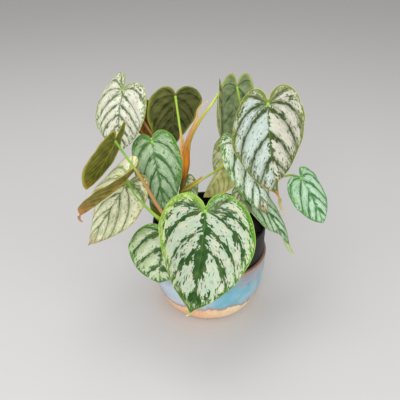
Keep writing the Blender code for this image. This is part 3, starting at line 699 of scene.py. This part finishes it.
def blade_fields(look, x, y, side, half, length):
    """At flat points of one side: vein index, mm per index, and mm travelled along the vein."""
    step = 0.2
    here = vein_index(look, x, y, side, half, length)
    beside = vein_index(look, x + side * step, y, side, half, length)
    ahead = vein_index(look, x, y + step, side, half, length)
    slope = np.hypot(beside - here, ahead - here) / step
    start = np.clip(y - vein_rise(look, np.abs(x) / half, y, length) * length, 0, None)
    return here, 1 / np.maximum(slope, 0.02), np.hypot(x, y - start)


def rippled_outline(count, leaf, look, phase):
    """The flat outline in mm, with a slight unevenness that fades at the sinus and the tip."""
    size = (leaf.width / 2, leaf_frame(leaf)[5])
    turn = 2 * math.pi * np.arange(count) / count
    uneven = np.sin(7 * turn + phase) + 0.6 * np.sin(12 * turn + 2 * phase)
    ripple = 1 + look.ripple * np.abs(np.sin(turn)) * uneven
    outline = heart_outline(count, leaf) * size * ripple[:, None]
    for x, y, reach, *move in look.pushes:
        near = np.exp(-((outline - (x, y)) ** 2).sum(1) / reach**2)
        outline = outline + near[:, None] * move
    return outline


def blade_faces(rings):
    """The upper side's faces, and 1 or -1 for each face on the right or left half."""
    triangles = []
    quads = []
    for i, j in round_pairs(RAYS):
        triangles.append((0, 1 + i, 1 + j))
        for a in range(1, 1 + (rings - 1) * RAYS, RAYS):
            quads.append((a + i, a + RAYS + i, a + RAYS + j, a + j))
    hands = [1 if f[1] - 1 < RAYS // 2 else -1 for f in triangles]
    hands += [1 if (f[0] - 1) % RAYS < RAYS // 2 else -1 for f in quads]
    return triangles + quads, hands


def raised(leaf, look, phase, x, y, margin):
    """How far the veins, the midrib's groove and the waved margin lift a blade's points (mm)."""
    half = leaf.width / 2
    length = leaf_frame(leaf)[5]
    side = np.where(x < 0, -1, 1)
    quilt = np.zeros(len(x))
    for hand in (-1, 1):
        k, spacing, _ = blade_fields(look, x, y, hand, half, length)
        swell = np.sin(math.pi * k) ** 2 * np.clip(spacing / 9, 0, 1)
        quilt = np.where(side == hand, swell, quilt)
    rib = np.abs(x)
    quilt *= np.clip(rib / 5, 0, 1) * np.clip(margin / 6, 0, 1) * look.quilt
    groove = -GROOVE_DEPTH * np.exp(-((rib / GROOVE_WIDTH) ** 2))
    groove *= np.clip(1.1 - y / length, 0, 1) * np.clip(margin / 5, 0, 1)
    out = np.clip(rib / half, 0, 1)
    wave = look.wave * out**2 * np.sin(phase + 9 * y / length + side * 1.3)
    wave += 0.45 * look.wave * out**3 * np.sin(2.1 * phase + 23 * y / length - side * 0.7)
    return quilt + groove + wave


def fine_blade(name, leaf, look):
    """Two skins with a closed margin, and the midrib as a tapering ridge underneath."""
    half = leaf.width / 2
    length = leaf_frame(leaf)[5]
    rng = random.Random(name)
    phase = rng.uniform(0, 6)
    outline = rippled_outline(RAYS, leaf, look, phase)
    shares = [*np.linspace(0, 1, RINGS)[1:-1], NEXT_TO_MARGIN, 1]
    flat = np.vstack([(0, 0), *[outline * share for share in shares]])
    x, y = flat.T
    near = rippled_outline(MARGIN_SAMPLES, leaf, look, phase)
    margin = np.array([np.hypot(*(near - point).T).min() for point in flat])
    middle = blade_point(leaf, x, y)
    upper, hands = blade_faces(len(shares))

    corners = np.array([f[:3] for f in upper])
    first, second, third = (middle[corners[:, c]] for c in range(3))
    turn = np.cross(second - first, third - first)
    normals = np.zeros_like(middle)
    for c in range(3):
        np.add.at(normals, corners[:, c], turn)
    normals /= np.linalg.norm(normals, axis=1)[:, None]
    if normals[0] @ leaf_frame(leaf)[2] < 0:
        normals = -normals
    middle = middle + normals * raised(leaf, look, phase, x, y, margin)[:, None]
    thick = THICKNESS - THINNER_AT_MARGIN * np.clip(1 - margin / 3, 0, 1)
    half_thick = normals * thick[:, None] / 2
    count = len(flat)
    edge = count - RAYS
    faces = upper + shifted([f[::-1] for f in upper], count)
    faces += [(edge + i, edge + j, count + edge + j, count + edge + i) for i, j in round_pairs(RAYS)]
    hands = hands + hands + [1 if i < RAYS // 2 else -1 for i in range(RAYS)]

    run = np.linspace(0, RIB_END, RIB_STEPS)
    thickness = np.interp(run, (0, 0.05, 1), (1.2, 0.95, 0.16))
    low = np.array([normals[np.argmin(np.hypot(x, y - share * length))] for share in run])
    depth = 0.6 * (1.1 - run) + 0.75 * thickness
    ridge = blade_point(leaf, 0 * run, run * length) - low * depth[:, None]
    tube_points, tube_faces = pipe(ridge, thickness, RIB_SIDES)
    faces += shifted(tube_faces, 2 * count)
    hands += [1] * len(tube_faces)

    mesh = bpy.data.meshes.new(name)
    points = np.vstack([middle + half_thick, middle - half_thick, tube_points])
    mesh.from_pydata((points * MM).tolist(), [], faces)
    mesh.shade_smooth()
    slots = np.zeros(len(faces), np.int32)
    slots[len(upper) : 2 * len(upper)] = 1
    slots[2 * len(upper) + RAYS :] = 1
    mesh.polygons.foreach_set("material_index", slots)

    tube_flat = np.stack([np.zeros(len(tube_points)), np.repeat(run, RIB_SIDES) * length], -1)
    both = np.vstack([flat, flat, tube_flat])
    set_field(mesh, "flat", np.column_stack([both, both[:, 1] / length]))
    margins = np.concatenate([margin, margin, np.full(len(tube_points), RIB_MARGIN)])
    loops = np.empty(len(mesh.loops), np.int32)
    mesh.loops.foreach_get("vertex_index", loops)
    hand = np.repeat(hands, [len(f) for f in faces])
    pitch = 1.15 * length / len(look.left)
    veins = np.zeros((len(loops), 3))
    grain = np.zeros((len(loops), 3))
    for which in (-1, 1):
        k, spacing, along = blade_fields(look, *both[loops].T, which, half, length)
        mine = hand == which
        veins[mine] = np.column_stack([k, spacing, margins[loops]])[mine]
        grain[mine] = np.column_stack([k * pitch * which, along, np.full(len(k), which * HALVES_APART)])[mine]
    set_field(mesh, "veins", veins, "CORNER")
    set_field(mesh, "grain", grain + (rng.uniform(0, 90), 0, 0), "CORNER")
    return mesh


def frames(route, start=None):
    """Each point of the route, with two directions across it that turn as little as they can."""
    for i, place in enumerate(route):
        ahead = unit(route[min(i + 1, len(route) - 1)] - route[max(i - 1, 0)])
        if i == 0 and start:
            across = np.cross(ahead, start)
        elif i == 0:
            across = np.array((1.0, 0, 0)) if abs(ahead[0]) < 0.9 else np.array((0, 1.0, 0))
        across = unit(across - ahead * (across @ ahead))
        yield place, across, np.cross(ahead, across)


def pipe(route, radii, sides, flat=1.0):
    """Points and faces of a closed tube along the route."""
    points = []
    faces = []
    for i, (place, across, other) in enumerate(frames(route)):
        for k in range(sides):
            angle = 2 * math.pi * (k + 0.5) / sides
            points.append(place + radii[i] * (across * math.cos(angle) + other * math.sin(angle) * flat))
    last = (len(route) - 1) * sides
    for a in range(0, last, sides):
        faces += [(a + k, a + n, a + sides + n, a + sides + k) for k, n in round_pairs(sides)]
    faces.append(tuple(range(sides))[::-1])
    faces.append(tuple(range(last, last + sides)))
    return np.array(points), faces


def blade_pattern(s, look):
    """The fields and markings that both sides of a blade share."""
    flat = s.field("flat")
    x, _, run = s.split(flat)
    k, spacing, margin = s.split(s.field("veins"))
    grain = s.field("grain")
    vein = s.math("ABSOLUTE", s.math("FRACT", k + 0.5) - 0.5) * spacing
    rib = s.math("ABSOLUTE", x)
    wide = s.noise(flat, 0.075, 1).step(0.3, 0.7, -1, 1)
    size = look.patch
    cell = s.cells(s.scaled(grain, 1.6 / size, 0.6 / size, 1)) - 0.5
    fleck = s.cells(s.scaled(grain, 3.6 / size, 1.5 / size, 1)) - 0.5
    rough = s.streaks(grain, 1, 0.45, 3, 0.82 / size) - 0.5
    jag = cell * (1.15 * look.jag) + fleck * (0.7 * look.jag) + rough * (1.5 * look.jag)

    # How far (mm) a point lies inside the silver, past the green of vein, midrib and margin
    spread = (wide * (0.65 * look.band) + look.band) * s.split(grain)[1].step(3, 26, 1.45, 0.7)
    beside_vein = vein + jag * vein.step(0.2, 1.2, 0.45, 1) - spread
    reach = run.step(0.12, 0.46, 0.35, 1.4) - run.step(0.46, 0.72, 0, 0.8)
    beside_rib = rib + jag * 1.1 - reach * look.mid
    scatter = cell * look.zone + fleck * (0.8 * look.zone) + jag
    beside_edge = margin + scatter - (wide * (0.4 * look.edge) + look.edge)
    inside = s.math("MINIMUM", s.math("MINIMUM", beside_vein, beside_rib), beside_edge)
    inside = inside - run.step(-0.14, 0.08, look.lobe, 0) - run.step(0.74, 0.98, 0, look.tip)
    silver = inside.step(-look.soft, look.soft)

    speck = s.cells(s.scaled(grain, 1, 0.7, 1))
    silver = silver * speck.step(look.speck - 0.02, look.speck + 0.02, 0.25, 1)
    island = s.streaks(grain, 0.3, 0.17) + cell * 0.16
    silver = silver * island.step(look.island, look.island + 0.03, 1, 0)
    outer = margin.step(1, 2.2) * margin.step(look.edge + 2, look.edge + 5, 1, 0)
    silver = s.math("MAXIMUM", silver, speck.step(0.74, 0.78) * outer * 0.8)
    rays = s.streaks(grain, 1.9, 0.16, 3).step(0.53, 0.58) * run.step(-0.08, 0.06, 0.28 * look.lobe, 0)
    return SimpleNamespace(
        flat=flat, grain=grain, x=x, run=run, margin=margin, vein=vein, rib=rib,
        silver=s.math("MAXIMUM", silver, rays * margin.step(1.5, 4)),
        line=vein.step(0.2, 0.75, 1, 0) * margin.step(0.6, 4),
        streak=s.streaks(grain, 1.7, 0.12),
        cloud=s.noise(flat, 0.11),
    )


def under_colour(s, look, p):
    return s.layers(
        look.under,
        (p.cloud.step(0.35, 0.65) * 0.6, look.under2),
        (p.silver * 0.35, look.under2),
        (p.streak.step(0.5, 0.75) * 0.35, look.under_line),
        # The pale border along the underside's margin: partly its own colour, partly painted highlight.
        ((p.margin + (p.cloud - 0.5) * 7).step(0.3, 4, look.brim, 0), look.lip),
        (p.line * 0.75, look.under_line),
        (p.rib.step(0.5, 1.1, 1, 0) * p.run.step(0.2, 0.9, 0.6, 0.2), look.under2),
    )


def upper_colour(s, look, p):
    hand = (p.x + (p.cloud - 0.5) * 16).step(-2.5, 2.5)
    glow = (p.margin + (p.cloud - 0.5) * 12).step(2, 13, look.glow, 0) * hand.step(0, 1, 1, 0.4)
    from_petiole = s.node("VectorMath", p.flat, operation="LENGTH", output="Value")
    green = s.layers(
        look.rim_left or look.rim,
        (hand, look.rim),
        (p.run.step(0.3, 0.8, 0, 0.75), look.dark),
        (p.margin.step(1, look.edge * 1.4 + 2), look.dark),
        (p.cloud.step(0.4, 0.75) * 0.2, (150, 176, 100)),
    )
    pale = s.layers(
        look.silver,
        (hand if look.sided else p.cloud.step(0.4, 0.65), look.silver2),
        (p.streak.step(0.5, 0.72) * look.streak, look.dark),
        # Painted sheen: faint pale streaks on the silver stand in for a satin highlight.
        (s.streaks(p.grain, 2.6, 0.5).step(0.5, 0.7) * 0.2, (236, 242, 234)),
        # Painted shade: the silver darkens along the veins, where the blade dips between its swells.
        ((p.vein + (p.streak - 0.5) * 4).step(0.5, 4, look.hollow, 0), look.dark),
        (glow * p.run.step(0.3, 0.8, 1, 0.3), look.lip),
    )
    return s.layers(
        green,
        (p.silver, pale),
        (p.line * look.lined, look.line),
        (p.rib.step(0.25, 0.75, 1, 0) * p.run.step(0.1, 0.6, 0.75, 0.25), look.rib),
        (from_petiole.step(0.8, 2.1, 0.9, 0), (160, 210, 66)),
    )


def blade_material(name, look, under):
    s = Look(name + ("_under" if under else "_upper"))
    p = blade_pattern(s, look)
    base = under_colour(s, look, p) if under else upper_colour(s, look, p)
    # The pale line along the margin: partly the margin's own colour, partly a painted rim highlight.
    base = s.mix(p.margin.step(0.3, 0.85, 1, 0) * p.run.step(0.2, 0.8, 0.65, 0.4), base, look.lip)
    if look.tan or look.tan_edge:
        end = (p.run + (p.cloud - 0.5) * 0.35).step(look.tan_from, 0.98, 0, look.tan)
        edge = (p.margin + (p.cloud - 0.5) * 9).step(0.2, 3.2, look.tan_edge, 0)
        base = s.mix(s.math("MAXIMUM", end, edge), base, (188, 128, 66))
    rough = p.silver * -0.06 + p.cloud * 0.1 + 0.42
    ripple = s.streaks(p.grain, 0.5, 1.3, 3) * 0.22
    height = p.line * (0.25 if under else -0.25) + ripple + p.silver * 0.03
    through = (s.mix(0.5, base, (150, 176, 60)), look.through)
    return s.finished(base, (height, 0.001, 0.8), through, Roughness=rough, Specular_IOR_Level=0.22)


def make_blades():
    for name, leaf in LEAVES.items():
        look = SimpleNamespace(**{**PLAIN, **LOOKS[name]})
        mesh = fine_blade(name + "_blade", leaf, look)
        materials = (blade_material(name, look, False), blade_material(name, look, True))
        finish_piece(name + "_blade", mesh, materials, (name,))


def stalk_material():
    s = Look("stalk")
    tint = s.field("tint")
    _, grain = s.fibres(14, 0.09, 3)
    patch = s.noise(s.place(), 140)
    base = s.layers(
        tint,
        (grain.step(0.45, 0.8) * 0.35, s.mix(0.5, tint, (96, 74, 30))),
        (patch.step(0.5, 0.75) * 0.16, (206, 200, 120)),
    )
    return s.finished(base, (grain + patch * 0.6, 0.00035, 0.7), (base, 0.1), Roughness=0.42)


def tones_of(colours, count):
    return keyed([linear(c)[:3] for c in colours], count)


def stalk_mesh(name, parts):
    """One mesh of tubes: each part is (route, radii, colours)."""
    points = []
    faces = []
    tints = []
    runs = []
    for route, radii, colours in parts:
        made, made_faces = pipe(route, radii, STALK_SIDES)
        faces += shifted(made_faces, len(points))
        points.extend(made)
        tints.append(np.repeat(tones_of(colours, len(route)), STALK_SIDES, axis=0))
        runs += [(t, abs(2 * k / STALK_SIDES - 1), 0) for t in travelled(route) for k in range(STALK_SIDES)]
    mesh = mesh_of(name, points, faces, 60)
    set_field(mesh, "tint", np.vstack(tints))
    set_field(mesh, "run", runs)
    return mesh


def make_shoots():
    material = stalk_material()
    for name, rows in SHOOTS.items():
        parts = []
        for part, (points, widths, colours) in rows.items():
            if part == "stem":
                x, y, _ = points[0]
                route = fine_route([*[(x, y, z) for z in STEM_FEET], *points])
                radii = keyed(widths[:1] + widths, len(route))
                for joint in JOINT_HEIGHTS:
                    radii = radii + 0.35 * np.exp(-(((route[:, 2] - joint) / 1.2) ** 2))
            else:
                base, along, upper, _, bend, _ = leaf_frame(LEAVES[part])
                end = base - (math.cos(bend / 2) * upper - math.sin(bend / 2) * along) * BELOW_BLADE
                route = fine_route([*points, end])
                run = np.linspace(0, 1, len(route))
                swelling = 0.93 + 0.25 * np.clip((run - 0.93) / 0.07, 0, 1)
                radii = keyed(widths + widths[-1:], len(route)) * swelling
            parts.append((route, radii, colours))
        mesh = stalk_mesh(name + "_stalks", parts)
        finish_piece(name + "_stalks", mesh, (material,), (name,))


def sheath_material():
    s = Look("dry_sheath_skin")
    run, grain = s.fibres(9, 0.05, 4)
    along = (run.step(0, 60), (242, 212, 170))
    base = s.layers((218, 158, 74), along, (grain.step(0.4, 0.75) * 0.5, (200, 146, 86)))
    return s.finished(base, (grain, 0.0006, 0.8), (base, 0.2), Roughness=0.6)


def make_sheath():
    """The dry sheath: a channel that opens towards the front and closes to a curled point."""
    route = fine_route(SHEATH_ROUTE, 10)
    count = len(route)
    widths = keyed(SHEATH_WIDTHS, count)
    skin = SHEATH_STEPS + 1
    points = []
    for width, (place, across, back) in zip(widths, frames(route, SHEATH_FRONT)):
        for thinner, scale in ((0, 1), (0.35, 0.98)):
            for k in range(skin):
                angle = math.radians(SHEATH_WRAP * (k / SHEATH_STEPS - 0.5))
                swing = across * math.sin(angle) + back * math.cos(angle)
                points.append(place + (width - thinner) * swing * scale)
    faces = []
    row = 2 * skin
    for start in range(0, (count - 1) * row, row):
        for a in range(start, start + SHEATH_STEPS):
            faces.append((a, a + 1, a + row + 1, a + row))
            b = a + skin
            faces.append((b + 1, b, b + row, b + row + 1))
        for a in (start, start + SHEATH_STEPS):
            faces.append((a, a + row, a + row + skin, a + skin))
    for start in (0, (count - 1) * row):
        for a in range(start, start + SHEATH_STEPS):
            faces.append((a, a + 1, a + skin + 1, a + skin))
    mesh = mesh_of("dry_sheath", points, faces, 60)
    runs = [(t, abs(k % skin / SHEATH_STEPS - 0.5), 0) for t in travelled(route) for k in range(row)]
    set_field(mesh, "run", runs)
    finish_piece("dry_sheath", mesh, (sheath_material(),), ("cataphyll",))


def make_curls():
    for name, (slot_name, points, widths, *colours) in CURLS.items():
        path = fine_route(points)
        count = len(path)
        made, faces = pipe(path, keyed(widths, count), CURL_SIDES, 0.34)
        mesh = mesh_of(name, made, faces, 60)
        set_field(mesh, "tint", np.repeat(tones_of(colours, count), CURL_SIDES, axis=0))
        runs = [(i * 0.6, k / CURL_SIDES, 0) for i in range(count) for k in range(CURL_SIDES)]
        set_field(mesh, "run", runs)
        finish_piece(name, mesh, (stalk_material(),))


def circle(radius, sides):
    angles = [2 * math.pi * i / sides for i in range(sides)]
    return [(radius * math.cos(angle), radius * math.sin(angle)) for angle in angles]


def turn(name, profile, sides, wobble=None, inner_from=None, closed=False):
    """A mesh turned about Z from (radius, height) points.

    The profile starts and ends on the axis, or comes back to its first point if it is
    closed. From the point numbered inner_from on, the wall wears the second material.
    """
    points = []
    faces = []
    rings = []
    for radius, height in profile:
        if radius == 0:
            rings.append([len(points)] * sides)
            points.append((0.0, 0.0, height))
            continue
        rings.append(range(len(points), len(points) + sides))
        for i, (x, y) in enumerate(circle(1.0, sides)):
            out = radius + (wobble(2 * math.pi * i / sides, height) if wobble else 0.0)
            points.append((out * x, out * y, height))
    if closed:
        rings.append(rings[0])
    for lower, upper in zip(rings, rings[1:]):
        for i, j in round_pairs(sides):
            faces.append(tuple(dict.fromkeys((lower[i], lower[j], upper[j], upper[i]))))
    mesh = mesh_of(name, points, faces, 50)
    if inner_from:
        slots = np.repeat([int(ring >= inner_from) for ring in range(len(profile) - 1)], sides)
        mesh.polygons.foreach_set("material_index", slots.astype(np.int32))
    return mesh


def cachepot_radius(height):
    share = min(max(height / CACHEPOT_HEIGHT, 0.0), 1.0)
    return 40.0 + 23.0 * (1 - (1 - share) ** 2.2) ** (1 / 2.2)


def glaze_material():
    """Pale blue glaze that turns turquoise on the right, over a bare clay foot."""
    s = Look("cachepot_glaze")
    place = s.place()
    px, _, pz = s.split(s.scaled(place, 1000, 1000, 1000))
    broad = s.noise(s.scaled(place, 1, 1, 0.7), 30, 3) - 0.5
    drip = s.noise(s.scaled(place, 1, 1, 0.35), 150, 3, 0.6) - 0.5
    wisp = s.noise(s.scaled(place, 0.5, 0.5, 1.4), 60, 3, 0.5, 0.6) - 0.5
    fine = s.noise(place, 420, 3) - 0.5
    turning = (px + broad * 60).step(-26, 18)
    low = pz + broad * 24 + drip * px.step(-20, 30, 10, 21) + fine * 5 + px.step(-30, 35, 1, -2.8)
    body = s.layers(
        (188, 199, 213),
        (turning, (110, 172, 190)),
        (wisp.step(0.02, 0.14) * (turning * 0.7 + 0.2), (44, 136, 168)),
        (broad.step(0.04, 0.14) * 0.45, (180, 198, 208)),
        ((pz + drip * 22 + broad * 8).step(46, 56) * 0.75, (156, 150, 156)),
        ((pz + drip * 6 + fine * 5).step(61.5, 66) * 0.8, (160, 126, 108)),
        (low.step(22, 31, 0.65, 0) * wisp.step(-0.1, 0.1, 0.5, 1), (148, 140, 154)),
    )
    base = s.layers(
        (240, 196, 156),
        (fine.step(-0.15, 0.2), (222, 172, 130)),
        (px.step(-15, 35) * 0.75, (232, 218, 180)),
        (drip.step(0.02, 0.16) * 0.45, (204, 158, 122)),
        (low.step(21, 22.6), body),
        (low.step(20.5, 22.5) * low.step(23, 28, 1, 0) * 0.55, (168, 124, 98)),
        ((pz + fine * 1.2).step(67.2, 68.3), (120, 92, 76)),
    )
    rings = s.math("SINE", (pz + broad * 5) * 1.9)
    height = rings * 0.16 + fine * 0.3 + drip * 0.4
    return s.finished(base, (height, 0.0006, 0.6), Roughness=low.step(20.5, 23, 0.75, 0.22))


def inner_glaze_material():
    s = Look("cachepot_inside")
    cloud = s.noise(s.place(), 60, 4)
    base = s.mix(cloud.step(0.35, 0.7), (112, 104, 92), (86, 80, 72))
    return s.finished(base, (cloud, 0.0006, 0.6), Roughness=0.5)


def make_cachepot():
    radius = cachepot_radius
    top = CACHEPOT_HEIGHT - 2.1
    outer = [(0.0, 0.0), (36.0, 0.0), (38.5, 0.0), (39.6, 0.4)]
    outer += [(radius(h), h) for h in (1.2, 2.4, 4.0, *np.linspace(6, top - 0.3, 40))]
    lip = [(62.95 - 2.1 * (1 - math.cos(a)), top + 2.1 * math.sin(a)) for a in np.linspace(0, math.pi, 9)]
    inner = [(radius(h) - CACHEPOT_WALL, h) for h in np.linspace(64, 10, 22)]
    inner += [(radius(6) - 6.0, 6.6), (radius(6) - 9.0, 6.0), (0.0, 6.0)]

    def wobble(angle, height):
        if not 3 < height < 65:
            return 0.0
        return -0.18 + 0.12 * math.sin(3 * angle + height * 0.08) + 0.06 * math.sin(height * 1.9)

    mesh = turn("glazed_cachepot", outer + lip + inner, 160, wobble, len(outer) + len(lip) - 1)
    materials = (glaze_material(), inner_glaze_material())
    finish_piece("glazed_cachepot", mesh, materials, ("cachepot",))


def plastic_material():
    s = Look("nursery_plastic")
    place = s.place()
    scuff = s.noise(s.scaled(place, 1, 1, 0.3), 90, 4, 0.6)
    base = s.layers(
        (14, 14, 14),
        (scuff.step(0.5, 0.8) * 0.5, (22, 21, 22)),
        (s.noise(place, 26, 3).step(0.5, 0.8) * 0.35, (31, 28, 26)),
    )
    height = s.noise(place, 900) + scuff * 0.6
    return s.finished(base, (height, 0.00012, 0.5), Roughness=scuff * 0.25 + 0.42, Specular_IOR_Level=0.3)


def make_nursery_pot():
    low, neck, band, top = POT_LOW, POT_NECK, POT_BAND, POT_TOP
    slant = (neck - 44.5) / (band - low)
    outer = [(POT_FLOOR_HOLE, low), (42.5, low), (44.1, low + 0.3), (44.6, low + 1.0)]
    outer += [(44.5 + slant * (h - low), h) for h in np.linspace(low + 3, band - 0.8, 12)]
    outer += [(neck, band - 0.2), (neck + 0.3, band), (59.6, band), (60.0, band + 0.4)]
    outer += [(60.0 + 0.6 * (h - band) / (top - band), h) for h in np.linspace(band + 2, top - 1.4, 12)]
    outer += [(60.6, top - 0.9), (60.5, top - 0.4), (60.2, top - 0.1), (59.8, top), (59.3, top - 0.1)]
    inner = [(58.9, top - 0.6)]
    inner += [(58.7 + 0.2 * (h - band) / (top - band), h) for h in np.linspace(top - 2, band + 1.6, 8)]
    inner += [(neck - 1.3, band), (neck - 1.6, band - 2)]
    inner += [(43.2 + slant * (h - low), h) for h in np.linspace(band - 6, low + 2.4, 6)]
    inner += [(42.0, low + 1.3), (POT_FLOOR_HOLE, low + 1.3)]
    mesh = turn("black_nursery_pot", outer + inner, 144, closed=True)
    finish_piece("black_nursery_pot", mesh, (plastic_material(),), ("nursery_pot",))


def soil_material():
    s = Look("potting_mix")
    lump = s.noise(s.place(), 160, 4, 0.6)
    crumb = s.cells(s.place(), 420)
    dry = (crumb.step(0.75, 0.95) * 0.5, (54, 43, 32))
    base = s.layers((13, 10, 8), (lump.step(0.35, 0.7), (32, 25, 19)), dry)
    return s.finished(base, (lump + crumb * 0.4, 0.0015, 0.9), Roughness=0.92)


def soil_height(x, y):
    reach = math.hypot(x, y) / SOIL_RADIUS
    rough = 0.9 * math.sin(0.31 * x + 1.3) * math.cos(0.27 * y)
    rough += 0.5 * math.sin(0.9 * x - 0.4 * y) * math.sin(0.8 * y)
    return SOIL_EDGE_HEIGHT + SOIL_MOUND * (1 - reach * reach) + rough * (1 - reach**4)


def make_soil():
    rng = random.Random(5)
    rings = 34
    sides = 120
    points = [(0.0, 0.0, soil_height(0, 0))]
    for ring in range(1, rings + 1):
        for x, y in circle(SOIL_RADIUS * ring / rings, sides):
            points.append((x, y, soil_height(x, y) + rng.uniform(-0.35, 0.35) * (ring < rings)))
    for radius, height in ((SOIL_RADIUS, 72.4), (55.7, 69.0), (43.0, SOIL_BOTTOM)):
        points += [(x, y, height) for x, y in circle(radius, sides)]
    points.append((0.0, 0.0, SOIL_BOTTOM))
    pairs = round_pairs(sides)
    faces = [(0, 1 + i, 1 + j) for i, j in pairs]
    last = len(points) - 1 - sides
    for a in range(1, last, sides):
        faces += [(a + i, a + sides + i, a + sides + j, a + j) for i, j in pairs]
    faces += [(last + i, len(points) - 1, last + j) for i, j in pairs]
    material = soil_material()
    finish_piece("potting_mix", mesh_of("potting_mix", points, faces), (material,), ("soil",))

    ball = bmesh.new()
    bmesh.ops.create_icosphere(ball, subdivisions=1, radius=1.0)
    shape = [v.co.copy() for v in ball.verts]
    shape_faces = [[v.index for v in f.verts] for f in ball.faces]
    ball.free()
    points = []
    faces = []
    feet = [rows["stem"][0][0][:2] for rows in SHOOTS.values()]
    while len(points) < CRUMBS * len(shape):
        radius = CRUMB_REACH * math.sqrt(rng.random())
        angle = rng.uniform(0, 2 * math.pi)
        x, y = radius * math.cos(angle), radius * math.sin(angle)
        if min(math.hypot(x - a, y - b) for a, b in feet) < CRUMB_FREE:
            continue
        size = rng.uniform(0.7, 2.3)
        twist = rng.uniform(0, 6.3)
        turned = Matrix.Rotation(twist, 3, Vector((rng.random(), rng.random(), 0.3)).normalized())
        stretch = Vector((1.0, rng.uniform(0.5, 0.9), rng.uniform(0.35, 0.7)))
        faces += shifted(shape_faces, len(points))
        for corner in shape:
            jitter = 1 + rng.uniform(-0.22, 0.22)
            local = turned @ Vector([c * k * size * jitter for c, k in zip(corner, stretch)])
            points.append((x + local.x, y + local.y, soil_height(x, y) + 0.25 * size + local.z))
    finish_piece("soil_crumbs", mesh_of("soil_crumbs", points, faces, 30), (material,))


def add_object(name, data, place, rotation):
    obj = bpy.data.objects.new(name, data)
    bpy.context.scene.collection.objects.link(obj)
    obj.location = place
    obj.rotation_euler = rotation
    return obj


def softbox(name, place, size, power, colour=(1, 1, 1)):
    """A lamp that is turned to the plant's middle."""
    light = bpy.data.lights.new(name, "AREA")
    light.shape = "RECTANGLE"
    light.size, light.size_y = size
    light.energy = power
    light.color = colour
    aim = Vector((0, 0, 0.14)) - Vector(place)
    add_object(name, light, place, aim.to_track_quat("-Z", "Y").to_euler())


def floor_and_lights():
    scene = bpy.context.scene
    bpy.ops.mesh.primitive_plane_add(size=6.0, location=(0, 0, 0))
    floor = bpy.context.object
    floor.name = "floor"
    floor.data.materials.append(Look("pale_floor").finished((196, 194, 194), Roughness=0.7))
    world = bpy.data.worlds.new("studio")
    world.use_nodes = True
    backdrop = world.node_tree.nodes["Background"]
    backdrop.inputs[0].default_value = (0.97, 0.98, 0.96, 1.0)
    backdrop.inputs[1].default_value = 0.55
    scene.world = world

    softbox("window", (-0.8, -0.6, 1.2), (0.9, 0.9), 5, (1.0, 0.98, 0.95))
    softbox("fill", (1.1, -0.7, 0.6), (0.9, 0.9), 4)
    softbox("front", (-0.12, -1.3, 0.8), (0.8, 0.6), 13)
    softbox("above", (-0.2, 0.25, 1.4), (1.0, 1.0), 6)

    lens = bpy.data.cameras.new("camera")
    lens.lens = 45
    lens.sensor_width = 36
    lens.clip_start = 0.01
    pitch = math.radians(30.2)
    distance = 0.5265
    place = (-0.010, -distance * math.cos(pitch), 0.125 + distance * math.sin(pitch))
    scene.camera = add_object("camera", lens, place, (math.pi / 2 - pitch, 0, 0))
    scene.view_settings.view_transform = "Standard"


make_blades()
make_shoots()
make_sheath()
make_curls()
make_cachepot()
make_nursery_pot()
make_soil()
floor_and_lights()
